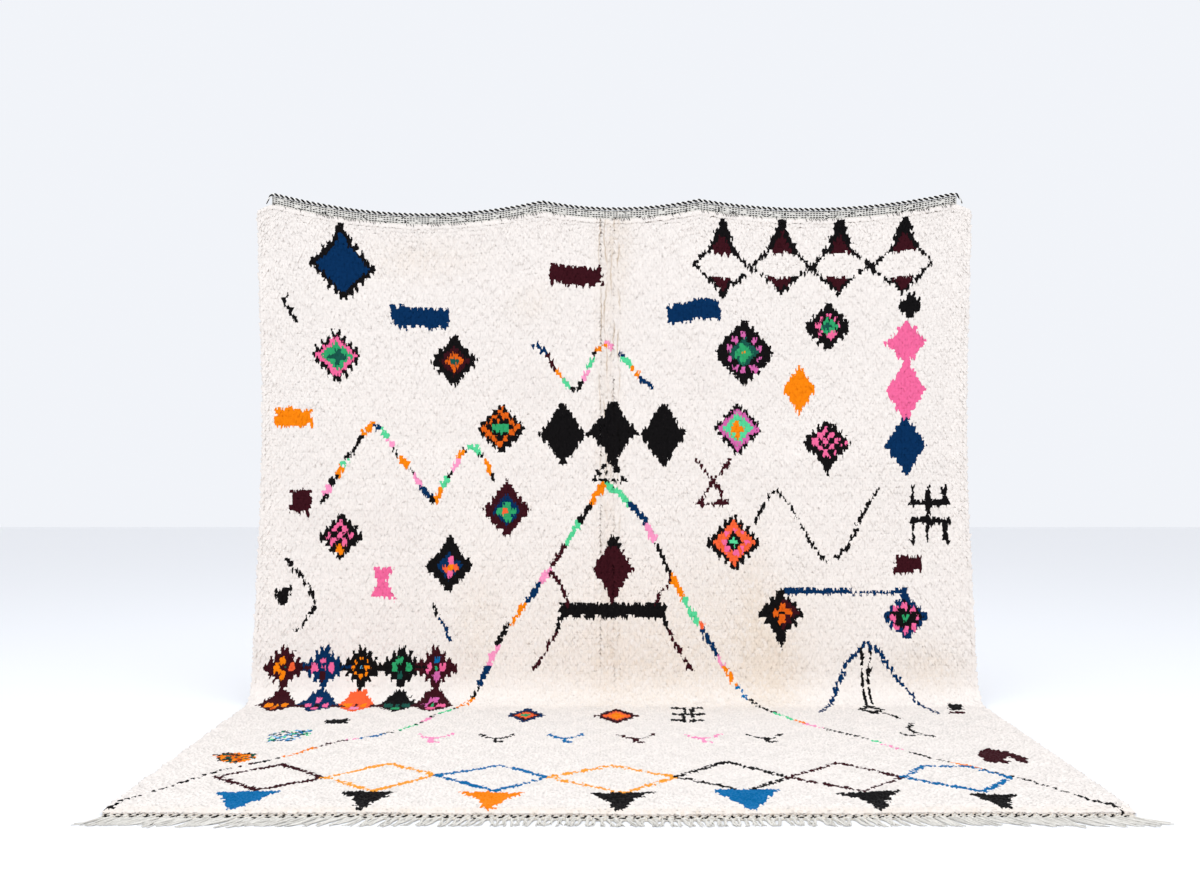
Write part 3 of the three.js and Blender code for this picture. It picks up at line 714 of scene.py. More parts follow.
# %% [markdown]
# ## From the chart to the colour of each knot
#
# Handspun wool is never even. Each knot is a little lighter or darker than the next, and whole rows differ
# slightly where a new batch began. The cream is also painted warmer and darker, as shade, in soft patches
# low on the hung part, in its folds and hollows, where the head sags and along the middle crease. A thin
# warm line runs along the foot edge.
#
# Hanging wool shows about one knot below the row in which it is tied. So on the hung part each row takes
# its wools from the next row of the chart, and the signs show at their places.

# %% The colour of each knot
KNOT_UNEVEN = 0.012
ROW_UNEVEN = 0.008
WARM_UNEVEN = 0.3
WARM = np.array((0.92, 0.86, 0.78))  # what a fully warm patch leaves of the cream's red, green and blue
# painted shade in the folds and hollows low on the hung part, where the head sags and along its crease
WARM_PATCHES = [  # across, down, half width, half height in metres, strength
    (0.18, 1.95, 0.62, 0.32, 0.55),
    (0.66, 1.98, 0.12, 0.22, 0.75),
    (0.60, 1.75, 0.05, 0.20, 0.35),
    (1.33, 1.98, 0.16, 0.12, 0.5),
    (-0.59, 1.80, 0.10, 0.28, 0.25),
    (-0.03, 0.95, 0.05, 1.3, 0.3),
    (0.02, 0.12, 0.06, 0.22, 0.35),
    (-0.84, 0.14, 0.22, 0.09, 0.3),
    (-0.36, 0.38, 0.10, 0.08, 0.22),
    (0.55, 1.60, 0.20, 0.20, 0.2),
    # a thin warm line along the foot edge
    (0.0, 3.85, 2.0, 0.035, 0.5),
]

hang = np.rint(lifted(knot_down[:, 0])).astype(int)
chart = chart[np.minimum(np.arange(ROWS) + hang, ROWS - 1)]

warmth = np.zeros(chart.shape)
for across, down, wide, tall, strength in WARM_PATCHES:
    warmth += strength * np.exp(-(((knot_across - across) / wide) ** 2) - ((knot_down - down) / tall) ** 2)
warmth = np.clip(warmth * (1 + WARM_UNEVEN * chance.standard_normal(chart.shape)), 0, 1)

knot_colour = wool_colours[chart]
uneven = 1 + KNOT_UNEVEN * chance.standard_normal(chart.shape)
uneven = uneven * (1 + ROW_UNEVEN * chance.standard_normal((ROWS, 1)))
undyed = (chart == 0)[..., None]
# the patches' painted shade, and the warm line at the foot edge, make the undyed cream warmer and darker
knot_colour = np.where(undyed, knot_colour * (1 + (WARM - 1) * warmth[..., None]), knot_colour)
knot_colour = np.clip(knot_colour * uneven[..., None], 0, 1)
print("mean warmth", round(float(warmth.mean()), 3))

# %% [markdown]
# ## Sums of nodes
#
# A node tree is a sum with boxes and wires. The small class below lets Python write it as one: adding two
# wires puts in a Math node and gives back its wire. One method adds any other kind of node from its type,
# its settings and what feeds it. The same class serves shaders and Geometry Nodes.

# %% A class for node trees
def socket_named(sockets, name):
    if isinstance(name, int):
        return sockets[name]
    return next(socket for socket in sockets if socket.name == name and socket.enabled)


class Wire:
    """The output of a node, ready for sums and for feeding other nodes."""

    def __init__(self, net, socket):
        self.net, self.socket = net, socket

    def math(self, operation, *others):
        return self.net.add("ShaderNodeMath", {"operation": operation}, dict(enumerate((self, *others))))

    def __add__(self, other):
        return self.math("ADD", other)

    def __mul__(self, other):
        return self.math("MULTIPLY", other)

    def __sub__(self, other):
        return self.math("SUBTRACT", other)

    def __rsub__(self, other):
        return self.net.add("ShaderNodeMath", {"operation": "SUBTRACT"}, {0: other, 1: self})

    def __truediv__(self, other):
        return self.math("DIVIDE", other)

    __radd__, __rmul__ = __add__, __mul__


class Net:
    """A node tree that is built with wires."""

    def __init__(self, tree):
        self.tree = tree

    def add(self, kind, settings=None, inputs=None, output=None):
        node = self.tree.nodes.new(kind)
        for name, value in (settings or {}).items():
            setattr(node, name, value)
        for name, value in (inputs or {}).items():
            socket = socket_named(node.inputs, name)
            if isinstance(value, Wire):
                self.tree.links.new(value.socket, socket)
            else:
                socket.default_value = value
        if output is None:
            output = next((n for n, socket in enumerate(node.outputs) if socket.enabled), 0)
        return Wire(self, socket_named(node.outputs, output))


# %% [markdown]
# ## The wool's finish
#
# Wool scatters light in its hairs, so it has no gloss, only a faint sheen at grazing angles. Its colour
# comes from the knots through a colour attribute. Two noises do the rest: one follows the hairs of each
# yarn, as lighter and darker hairs and as bump, and the other draws faint streaks down the cloth, the way
# the wool lies. Where the rug was once folded down its middle and the wool parts, painted shade darkens a
# few thin and broken lines.

# %% Materials
WOOL_ROUGH = 0.95
YARN_SHEEN = 0.03
SHEEN_ROUGH = 0.5
FAINT_GLOSS = 0.06
STREAKS_TO_METRE = (150, 24, 24)


def new_material(name, roughness, sheen):
    material = bpy.data.materials.new(name)
    material.use_nodes = True
    shader = material.node_tree.nodes["Principled BSDF"]
    shader.inputs["Roughness"].default_value = roughness
    shader.inputs["Sheen Weight"].default_value = sheen
    shader.inputs["Sheen Roughness"].default_value = SHEEN_ROUGH
    shader.inputs["Specular IOR Level"].default_value = FAINT_GLOSS
    return material, Net(material.node_tree), shader


CREASE_LINES = [  # across, wander, length of the wander, start, in metres
    (-0.060, 0.005, 0.52, 0.4),
    (-0.038, 0.006, 0.37, 1.9),
    (-0.008, 0.007, 0.43, 3.1),
    (0.018, 0.005, 0.31, 5.0),
]
CREASE_FINE = 0.0028  # half the width of a line of painted shade
CREASE_WAVER = 0.014  # how far a fine noise pushes it aside
PAINTED_SHADE_TAKES = (0.30, 0.38, 0.48)  # what the painted shade takes from the wool's red, green and blue


def parts(net, vector):
    node = net.add("ShaderNodeSeparateXYZ", inputs={0: vector}).socket.node
    return [Wire(net, node.outputs[axis]) for axis in "XYZ"]


def within(wire, low=0.0, high=1.0):
    return wire.math("MAXIMUM", low).math("MINIMUM", high)


def painted_crease_lines(net, place):
    """From 0 on unshaded wool to 1 in the middle of one of the crease's thin, broken lines of painted shade.
    """
    x, _, z = parts(net, place)
    fine = net.add("ShaderNodeTexNoise", inputs={"Vector": place, "Scale": 34.0, "Detail": 1.0})
    broad = net.add("ShaderNodeTexNoise", inputs={"Vector": place, "Scale": 8.0, "Detail": 1.0})
    total = 0
    for line, wander, long, start in CREASE_LINES:
        middle = (z * (2 * math.pi / long) + start).math("SINE") * wander + (fine - 0.5) * CREASE_WAVER + line
        away = (x - middle) / CREASE_FINE
        kept = within((z * (10 / long) + 3 * start).math("SINE") * 0.6 + broad * 3 - 1.1)
        total = (away * away * -1).math("EXPONENT") * kept + total
    return within(total * within((z - 0.3) * 0.8, 0.1))


def fibrous(name, hairs, depth, spread, creased=False):
    """Wool in the colours of the "wool" attribute. The "Hair" map runs once round each yarn and once along
    it. hairs is how many show round it and along it, depth the height of their bump in metres, and spread
    the share by which they lighten or darken the wool."""
    material, net, shader = new_material(name, WOOL_ROUGH, YARN_SHEEN)
    place = net.add("ShaderNodeTexCoord", output="Object")
    yarn = net.add("ShaderNodeUVMap", {"uv_map": "Hair"})
    streaks = net.add("ShaderNodeMapping", inputs={"Vector": yarn, "Scale": (*hairs, 1)})
    fine = net.add("ShaderNodeTexNoise", inputs={"Vector": streaks, "Scale": 1.0, "Detail": 2.0})
    falling = net.add("ShaderNodeMapping", inputs={"Vector": place, "Scale": STREAKS_TO_METRE})
    coarse = net.add("ShaderNodeTexNoise", inputs={"Vector": falling, "Scale": 1.0, "Detail": 2.0})
    shade = (fine - 0.5) * (2 * spread) + (coarse - 0.5) * (2 * spread) + 1
    wool = net.add("ShaderNodeAttribute", {"attribute_name": "wool"}, output="Color")
    tint = net.add("ShaderNodeVectorMath", {"operation": "SCALE"}, {0: wool, "Scale": shade})
    if creased:
        # painted shade: the crease's thin lines darken the wool where it parts
        line_shade = painted_crease_lines(net, place)
        taken = net.add("ShaderNodeVectorMath", {"operation": "SCALE"}, {0: PAINTED_SHADE_TAKES, "Scale": line_shade})
        left = net.add("ShaderNodeVectorMath", {"operation": "SUBTRACT"}, {0: (1, 1, 1), 1: taken})
        tint = net.add("ShaderNodeVectorMath", {"operation": "MULTIPLY"}, {0: tint, 1: left})
    net.tree.links.new(tint.socket, shader.inputs["Base Color"])
    bump = net.add("ShaderNodeBump", inputs={"Strength": 0.7, "Distance": depth, "Height": fine})
    net.tree.links.new(bump.socket, shader.inputs["Normal"])
    return material


# the pile's wool carries the crease's lines of painted shade
pile_wool = fibrous("pile_wool", hairs=(16, 1.5), depth=0.0012, spread=0.06, creased=True)
ply_yarn = fibrous("ply_yarn", hairs=(6, 3), depth=0.0005, spread=0.15)

# %% [markdown]
# The woven ground shows only from behind, where each knot makes a small flat loop between ridges of weft.
# Its material reads the "Weave" map, which counts the knots across and down, and raises a ridge between
# two rows and a shallow groove between two columns. It also paints the grooves darker and the ridges
# lighter, as shade.

# %% The back of the weave
BACK_SHEEN = 0.05
LOOP_DEEP = 0.0015


def woven(name):
    material, net, shader = new_material(name, WOOL_ROUGH, BACK_SHEEN)
    across, down, _ = parts(net, net.add("ShaderNodeUVMap", {"uv_map": "Weave"}))
    loops = (across * (2 * math.pi)).math("COSINE") * -0.5 + 0.5
    wefts = (down * (4 * math.pi)).math("COSINE") * 0.5 + 0.5
    height = loops.math("POWER", 0.5) * 0.5 + wefts.math("POWER", 0.5) * 0.5
    place = net.add("ShaderNodeTexCoord", output="Object")
    fuzz = net.add("ShaderNodeTexNoise", inputs={"Vector": place, "Scale": 600.0, "Detail": 2.0})
    # painted shade: darker in the grooves, lighter on the ridges
    shade = height * 0.22 + fuzz * 0.2 + 0.72
    wool = net.add("ShaderNodeAttribute", {"attribute_name": "wool"}, output="Color")
    tint = net.add("ShaderNodeVectorMath", {"operation": "SCALE"}, {0: wool, "Scale": shade})
    net.tree.links.new(tint.socket, shader.inputs["Base Color"])
    raised = height + fuzz * 0.3
    bump = net.add("ShaderNodeBump", inputs={"Strength": 0.8, "Distance": LOOP_DEEP, "Height": raised})
    net.tree.links.new(bump.socket, shader.inputs["Normal"])
    return material


weave_back = woven("weave_back")
print("materials:", [material.name for material in bpy.data.materials])

# %% [markdown]
# ## Meshes from arrays
#
# A helper turns arrays of places and faces into an object, with the wool's colour and the maps stored on
# the corners of its faces. "OFBake" is a flat layout of the faces in which none lies on another, so that
# the finish can be painted onto the mesh later on.

# %% A helper for meshes
ONLY_FOR_GROWING = {"way", "bend", "size", "cell", "petal", "turn"}


def finished(obj):
    """Keeps only what a piece needs, and smooths its faces."""
    mesh = obj.data
    for name in [layer.name for layer in mesh.attributes if layer.name in ONLY_FOR_GROWING]:
        mesh.attributes.remove(mesh.attributes[name])
    mesh.shade_smooth()
    mesh.validate()
    return obj


def triangles_in(mesh):
    return sum(len(face.vertices) - 2 for face in mesh.polygons)


def solid_mesh(name, places, faces, material, wool, maps):
    """An object from points and faces. wool has one colour for each corner, or one for all, and maps has
    each map's place for every corner."""
    mesh = bpy.data.meshes.new(name)
    mesh.from_pydata(np.asarray(places).reshape(-1, 3).tolist(), [], faces)
    colours = np.ones((len(mesh.loops), 4))
    colours[:, :3] = wool
    attribute = mesh.color_attributes.new("wool", "FLOAT_COLOR", "CORNER")
    attribute.data.foreach_set("color", colours.ravel())
    for map_name, places_on_map in maps.items():
        layer = mesh.uv_layers.new(name=map_name)
        layer.uv.foreach_set("vector", np.asarray(places_on_map, float).ravel())
    mesh.materials.append(material)
    obj = bpy.data.objects.new(name, mesh)
    bpy.context.scene.collection.objects.link(obj)
    return obj


# %% [markdown]
# ## The woven ground
#
# Under the wool lies a thin flat weave of warp and weft. Its back has one face for each knot, so that the
# signs show there in knots, as they do on the real thing. Its front, which the pile hides, makes do with
# one face for sixteen knots. A rim of faces closes the cloth at its four edges.

# %% The ground cloth
GROUND_THICK = 0.005
COARSE = 4  # knots to one face of the hidden front
MAP_BACK_FROM = 0.05  # the back's part of the map starts here
MAP_FRONT_SHARE = 0.8  # the front's strip fills this much of what lies before it
BACK_FADED = 0.86  # wool on the back is flat and a little darker


def ground_cloth():
    across = np.linspace(-FIELD_HALF, FIELD_HALF, COLUMNS + 1)
    down = np.linspace(0, FIELD_LONG, ROWS + 1)
    back = cloth(across[None, :], down[:, None], 0)
    front = cloth(across[None, ::COARSE], down[::COARSE, None], GROUND_THICK)
    back_at = np.arange(back[..., 0].size).reshape(back.shape[:2])
    front_at = np.arange(front[..., 0].size).reshape(front.shape[:2]) + back_at.size

    def quads(at):
        return np.stack([at[:-1, :-1], at[1:, :-1], at[1:, 1:], at[:-1, 1:]], -1).reshape(-1, 4)

    def rim(edge_back, edge_front):
        stops = range(len(edge_front) - 1)
        return [
            [edge_front[n + 1], edge_front[n], *edge_back[n * COARSE : (n + 1) * COARSE + 1]] for n in stops
        ]

    back_faces = quads(back_at)[:, ::-1]
    front_faces = quads(front_at)
    rims = [
        *rim(back_at[:, 0], front_at[:, 0]),
        *rim(back_at[-1], front_at[-1]),
        *rim(back_at[::-1, -1], front_at[::-1, -1]),
        *rim(back_at[0, ::-1], front_at[0, ::-1]),
    ]
    faces = [*back_faces.tolist(), *front_faces.tolist(), *[[int(v) for v in face] for face in rims]]
    corners = np.concatenate([back_faces.ravel(), front_faces.ravel(), *rims])

    count = np.stack(np.meshgrid(np.arange(COLUMNS + 1.0), np.arange(ROWS + 1.0)), -1)
    weave = np.concatenate([count.reshape(-1, 2), count[::COARSE, ::COARSE].reshape(-1, 2)])[corners]
    spread = weave / (COLUMNS, ROWS)
    on_back = np.arange(len(corners)) < back_faces.size
    back_part = MAP_BACK_FROM + spread[:, 1] * (1 - MAP_BACK_FROM)
    spread[:, 1] = np.where(on_back, back_part, spread[:, 1] * MAP_BACK_FROM * MAP_FRONT_SHARE)
    wool = np.tile(wool_colours[0], (len(corners), 1))
    wool[: back_faces.size] = np.repeat(knot_colour.reshape(-1, 3) * BACK_FADED, 4, axis=0)
    places = np.concatenate([back.reshape(-1, 3), front.reshape(-1, 3)])
    return solid_mesh("ground", places, faces, weave_back, wool, {"OFBake": spread, "Weave": weave})


ground = finished(ground_cloth())
print("ground", len(ground.data.polygons), "faces")

# %% [markdown]
# ## A tree that grows short yarns
#
# Tufts, picks and stitches are all short pieces of yarn with a point at both ends. One Geometry Nodes
# tree makes them. It shapes a small ball into a bud that swells at a given height and bends over at its
# tip, puts a copy on every point, turned by the point's own directions, and realizes the copies. The
# ball's own map is opened out like four petals, so that each yarn fills one cell of the baking map.

# %% The yarn tree
PETAL_LONG = 0.64  # how far the ball's map opens, so that each yarn fills its cell
MAPS_APART = 977.0  # shifts each yarn's hairs, so that no two yarns look the same


def yarn_tree():
    tree = bpy.data.node_groups.new("short_yarns", "GeometryNodeTree")
    inputs = {
        "Geometry": ("NodeSocketGeometry", None),
        "Sides": ("NodeSocketInt", 4),
        "Rings": ("NodeSocketInt", 2),
        "Swell": ("NodeSocketFloat", 0.6),
        "Tip bend": ("NodeSocketFloat", 0.5),
        "Spin": ("NodeSocketFloat", 0.6),
        "Seed": ("NodeSocketInt", 1),
        "Cell": ("NodeSocketVector", (0, 0, 0)),
        "Wool": ("NodeSocketMaterial", None),
    }
    for name, (kind, value) in inputs.items():
        socket = tree.interface.new_socket(name, in_out="INPUT", socket_type=kind)
        if value is not None:
            socket.default_value = value
    tree.interface.new_socket("Geometry", in_out="OUTPUT", socket_type="NodeSocketGeometry")
    net = Net(tree)
    given = tree.nodes.new("NodeGroupInput")
    value = {name: Wire(net, given.outputs[name]) for name in inputs}

    def named(name):
        return net.add("GeometryNodeInputNamedAttribute", {"data_type": "FLOAT_VECTOR"}, {"Name": name})

    def stored(geometry, name, what, domain="CORNER", kind="FLOAT2"):
        settings = {"data_type": kind, "domain": domain}
        return net.add(
            "GeometryNodeStoreNamedAttribute", settings, {"Geometry": geometry, "Name": name, "Value": what}
        )

    counts = {"Segments": value["Sides"], "Rings": value["Rings"], "Radius": 1.0}
    ball = net.add("GeometryNodeMeshUVSphere", inputs=counts)
    ball_map = Wire(net, ball.socket.node.outputs["UV Map"])
    turn, rise, _ = parts(net, ball_map)
    reach = (1 - rise) * PETAL_LONG
    angle = turn * (2 * math.pi)
    petal = net.add(
        "ShaderNodeCombineXYZ", inputs={"X": reach * angle.math("COSINE"), "Y": reach * angle.math("SINE")}
    )
    opened = stored(ball, "petal", petal)
    wound = stored(opened, "turn", ball_map)

    x, y, z = parts(net, net.add("GeometryNodeInputPosition"))
    height = z * 0.5 + 0.5
    swollen = height + (value["Swell"] - 0.5) * 4 * height * (1 - height)
    bent = x + value["Tip bend"] * swollen * swollen
    bud_place = net.add("ShaderNodeCombineXYZ", inputs={"X": bent, "Y": y, "Z": swollen})
    bud = net.add("GeometryNodeSetPosition", inputs={"Geometry": wound, "Position": bud_place})

    axes = net.add(
        "FunctionNodeAxesToRotation",
        {"primary_axis": "Z", "secondary_axis": "X"},
        {"Primary Axis": named("way"), "Secondary Axis": named("bend")},
    )
    spin = net.add(
        "FunctionNodeRandomValue",
        {"data_type": "FLOAT"},
        {"Min": 0 - value["Spin"], "Max": value["Spin"], "Seed": value["Seed"]},
    )
    turned = net.add("FunctionNodeAxisAngleToRotation", inputs={"Axis": (0, 0, 1), "Angle": spin})
    rotation = net.add(
        "FunctionNodeRotateRotation", {"rotation_space": "LOCAL"}, {"Rotation": axes, "Rotate By": turned}
    )
    copies = net.add(
        "GeometryNodeInstanceOnPoints",
        inputs={"Points": value["Geometry"], "Instance": bud, "Rotation": rotation, "Scale": named("size")},
    )
    real = net.add("GeometryNodeRealizeInstances", inputs={"Geometry": copies})
    in_cell = net.add(
        "ShaderNodeVectorMath", {"operation": "MULTIPLY"}, {0: named("petal"), 1: value["Cell"]}
    )
    on_map = net.add("ShaderNodeVectorMath", {"operation": "ADD"}, {0: in_cell, 1: named("cell")})
    mapped = stored(real, "OFBake", on_map)
    number = net.add("ShaderNodeVectorMath", {"operation": "SCALE"}, {0: named("cell"), "Scale": MAPS_APART})
    on_yarn = net.add("ShaderNodeVectorMath", {"operation": "ADD"}, {0: named("turn"), 1: number})
    mapped = stored(mapped, "Hair", on_yarn)
    dressed = net.add("GeometryNodeSetMaterial", inputs={"Geometry": mapped, "Material": value["Wool"]})
    leave = tree.nodes.new("NodeGroupOutput")
    tree.links.new(dressed.socket, leave.inputs[0])
    return tree


short_yarns = yarn_tree()
print("yarn tree has", len(short_yarns.nodes), "nodes")

# %% [markdown]
# Points carry their directions, size and wool as attributes. The helper below lays them down, gives the
# tree its inputs by their identifiers, takes the evaluated result as a plain mesh and clears up.

# %% A helper that grows yarns on points
def grow(name, spots, material, cells, **settings):
    """spots has an array for each of place, way, bend, size and wool, with a row for each yarn. cells is
    how many cells the baking map has across and down, filled row by row."""
    number = len(spots["place"])
    mesh = bpy.data.meshes.new(name + "_points")
    mesh.from_pydata(spots["place"].tolist(), [], [])
    row, column = np.divmod(np.arange(number), cells[0])
    centres = np.stack([(column + 0.5) / cells[0], (row + 0.5) / cells[1], 0 * row], 1)
    vectors = {"way": spots["way"], "bend": spots["bend"], "size": spots["size"], "cell": centres}
    for key, rows in vectors.items():
        attribute = mesh.attributes.new(key, "FLOAT_VECTOR", "POINT")
        attribute.data.foreach_set("vector", np.asarray(rows, np.float32).ravel())
    colours = np.ones((number, 4), np.float32)
    colours[:, :3] = spots["wool"]
    mesh.attributes.new("wool", "FLOAT_COLOR", "POINT").data.foreach_set("color", colours.ravel())

    obj = bpy.data.objects.new(name, mesh)
    bpy.context.scene.collection.objects.link(obj)
    modifier = obj.modifiers.new("yarns", "NODES")
    modifier.node_group = short_yarns
    wanted = {"Cell": (1 / cells[0], 1 / cells[1], 0), "Wool": material, **settings}
    for item in short_yarns.interface.items_tree:
        if item.in_out == "INPUT" and item.name in wanted:
            modifier[item.identifier] = wanted[item.name]
    graph = bpy.context.evaluated_depsgraph_get()
    grown = bpy.data.meshes.new_from_object(obj.evaluated_get(graph), depsgraph=graph)
    obj.modifiers.clear()
    obj.data = grown
    grown.name = name
    bpy.data.meshes.remove(mesh)
    print(name, number, "yarns,", triangles_in(grown), "triangles")
    return finished(obj)


# %% [markdown]
# ## The pile
#
# On the hung part the wool hangs over and lies down along the fall. On the floor it stands up and leans
# only a little towards the foot. At the side rims it leans outwards, along the middle crease it parts, and
# the last rows at the foot are shorter and lie down, clear of the twining. The wool's height rises and
# falls gently, so that the field is lumpy, and each tuft differs a little from the next. Very many tufts
# make one piece too heavy, so the pile is made in four bands, one below the other.

# %% How the tufts stand
PILE_TIPS = 0.024  # from the back of the ground to the tips
ROOT_OUT = 0.003
LEAN_HUNG = 1.0  # radians from upright, towards the foot
LEAN_FLAT = 0.5
LEAN_STRAY = 0.04
RIM_LEAN = 0.5
RIM_FADE = 0.030
FOOT_LEAN = 0.45
FOOT_SHORT = 0.5  # the share by which tufts at the foot edge are shorter
FOOT_FADE = 0.020
HEAD_LEAN = -0.6  # the first rows stand up more, over the band
LEAN_LIMITS = (-1, 1.1)
ASIDE_LIMITS = (-1, 1)
LEAST_UPRIGHT = 0.6  # a leaning tuft is longer, but not beyond this lean
LONG_UNEVEN = 0.05
FULL_UNEVEN = 0.06
PLACE_STRAY = 0.0012
CREASE_PART = 0.4  # how far the wool leans apart along the crease's lines
CREASE_HALF = 0.009
TUFT_WIDE = 0.0165  # half sizes
DEEP_HUNG = 0.0104
DEEP_FLAT = 0.0145
LUMPS = [(0.31, 0.23, 0.0011, 0.3), (0.13, 0.17, 0.0012, 1.9), (0.083, 0.071, 0.001, 4.1)]

lump = sum(
    rise * np.sin(knot_across / wide * 2 * np.pi + start) * np.sin(knot_down / tall * 2 * np.pi + 2 * start)
    for wide, tall, rise, start in LUMPS
)
sideways, downwards, outwards = directions(knot_across, knot_down)
lean_down = LEAN_FLAT + (LEAN_HUNG - LEAN_FLAT) * lifted(knot_down)
lean_down = lean_down + LEAN_STRAY * chance.standard_normal(chart.shape)
to_side = FIELD_HALF - np.abs(knot_across)
lean_aside = np.sign(knot_across) * RIM_LEAN * np.exp(-to_side / RIM_FADE)
for line, wander, long, start in CREASE_LINES:
    away = knot_across - line - wander * np.sin(knot_down / long * 2 * np.pi + start)
    slow, quick = np.sin(knot_down / long * 7.3 + 2 * start), np.sin(knot_down / 0.07 + start)
    broken = smooth(0.7 + 0.8 * slow + 0.4 * quick)
    near = np.exp(-((away / CREASE_HALF) ** 2)) * broken * lifted(knot_down)
    lean_aside = lean_aside + np.sign(away) * CREASE_PART * near
lean_aside = lean_aside + LEAN_STRAY * chance.standard_normal(chart.shape)
to_foot = FIELD_LONG - knot_down
foot_lean = FOOT_LEAN * np.exp(-to_foot / RIM_FADE)
head_lean = HEAD_LEAN * np.exp(-knot_down / RIM_FADE)
lean_down = lean_down + foot_lean + head_lean

tuft_way = unit(
    outwards + np.tan(np.clip(lean_down, *LEAN_LIMITS))[..., None] * downwards
    + np.tan(np.clip(lean_aside, *ASIDE_LIMITS))[..., None] * sideways
)
upright = (tuft_way * outwards).sum(-1)
tuft_long = (PILE_TIPS - ROOT_OUT + lump) / np.clip(upright, LEAST_UPRIGHT, 1)
tuft_long = tuft_long * (1 - FOOT_SHORT * np.exp(-to_foot / FOOT_FADE))
tuft_long = tuft_long * (1 + LONG_UNEVEN * chance.standard_normal(chart.shape))
tuft_place = cloth(
    knot_across + PLACE_STRAY * chance.standard_normal(chart.shape),
    knot_down + PLACE_STRAY * chance.standard_normal(chart.shape),
    ROOT_OUT,
)
fullness = 1 + FULL_UNEVEN * chance.standard_normal(chart.shape)
tuft_deep = DEEP_FLAT + (DEEP_HUNG - DEEP_FLAT) * lifted(knot_down)
tuft_size = np.stack([tuft_deep * fullness, TUFT_WIDE * fullness, tuft_long], -1)
print("mean tuft", np.round(tuft_size.mean((0, 1)) * 1000, 1), "mm")

# %% [markdown]
# A tuft is a bundle of fine hairs, so light doesn't fall on it as on a smooth solid: its top looks much like
# its neighbours'. One helper below turns the shading directions of each tuft part of the way towards the
# cloth's own, and leaves the root as it is. The other presses down wool that would come out behind.

# %% The four bands of pile
SOFT_HUNG = 6.0  # how far a tuft's shading turns towards the cloth's
SOFT_FLAT = 2.5
BACK_CLEAR = 0.001  # from the back of the cloth to the lowest wool


def soften(obj, out, soft):
    """out has the cloth's own direction for each tuft, and soft how far to turn towards it. All tufts have
    the same corners in the same order."""
    mesh = obj.data
    count = len(mesh.vertices)
    normals = np.empty(count * 3)
    mesh.vertex_normals.foreach_get("vector", normals)
    normals = normals.reshape(len(out), -1, 3)
    toward = (normals * out[:, None]).sum(-1, keepdims=True)
    turned = unit(normals + soft[:, None, None] * out[:, None] * (toward > -0.5))
    mesh.normals_split_custom_set_from_vertices(turned.reshape(-1, 3).tolist())


def press_on_ground(obj, roots, out):
    """Wool that would reach behind the cloth, or into the floor, is pressed flat on the ground weave."""
    places = np.empty(len(obj.data.vertices) * 3)
    obj.data.vertices.foreach_get("co", places)
    places = places.reshape(len(roots), -1, 3)
    height = ((places - roots[:, None]) * out[:, None]).sum(-1) + ROOT_OUT
    places += np.maximum(BACK_CLEAR - height, 0)[..., None] * out[:, None]
    obj.data.vertices.foreach_set("co", places.ravel())


softness = SOFT_FLAT + (SOFT_HUNG - SOFT_FLAT) * lifted(knot_down)
PILE_BANDS = ["pile_head", "pile_middle", "pile_heel", "pile_foot"]
BAND_KNOTS = ROWS // len(PILE_BANDS)
TUFT_SHAPE = {"Swell": 0.44, "Tip bend": 0.5, "Spin": 0.6}
pile = []
for n, name in enumerate(PILE_BANDS):
    band = slice(n * BAND_KNOTS, (n + 1) * BAND_KNOTS)
    spots = {
        "place": tuft_place[band].reshape(-1, 3),
        "way": tuft_way[band].reshape(-1, 3),
        "bend": downwards[band].reshape(-1, 3),
        "size": tuft_size[band].reshape(-1, 3),
        "wool": knot_colour[band].reshape(-1, 3),
    }
    pile.append(grow(name, spots, pile_wool, (COLUMNS, BAND_KNOTS), **TUFT_SHAPE, Seed=n))
    out = outwards[band].reshape(-1, 3)
    press_on_ground(pile[-1], spots["place"], out)
    soften(pile[-1], out, softness[band].ravel())

# %% [markdown]
# ## The flat-woven head band
#
# Above the last row of knots the weaver goes on with plain weft in black and white. It is a narrow band,
# a strong edge that the rug can hang from. A thin strip stands for its warps, and each pick of weft that
# shows is a short yarn lying along it. Rows of black picks, with the white strip showing between them,
# take turns with white rows.

# %% The head band
BAND_HALF = 1.470
BAND_TALL = 0.035
BAND_GAP = 0.0003
BAND_THICK = 0.0018
BAND_STOPS = 241
PICK_LONG = {"line": 0.0125, "white": 0.0095}  # from one pick to the next
PICK_SHARE = {"line": 0.9, "white": 1.15}  # how much of that the pick fills
PICK_HALF = 0.0021
DARK_IN_WHITE = 0.08  # the share of black picks in a white row
DARK_IN_LINE = 0.94
BAND_ROWS = ["line", "white"] * 4  # from the top down
ROW_TALL = (BAND_TALL - BAND_GAP) / len(BAND_ROWS)
BLACK_YARN = linear((20, 18, 19))
WHITE_YARN = linear((238, 235, 228))


def above_head(across, tall, out):
    """A place in the band above the pile, a height above the field's top edge."""
    place = cloth(across, 0, out)
    place[..., 2] += tall
    return place


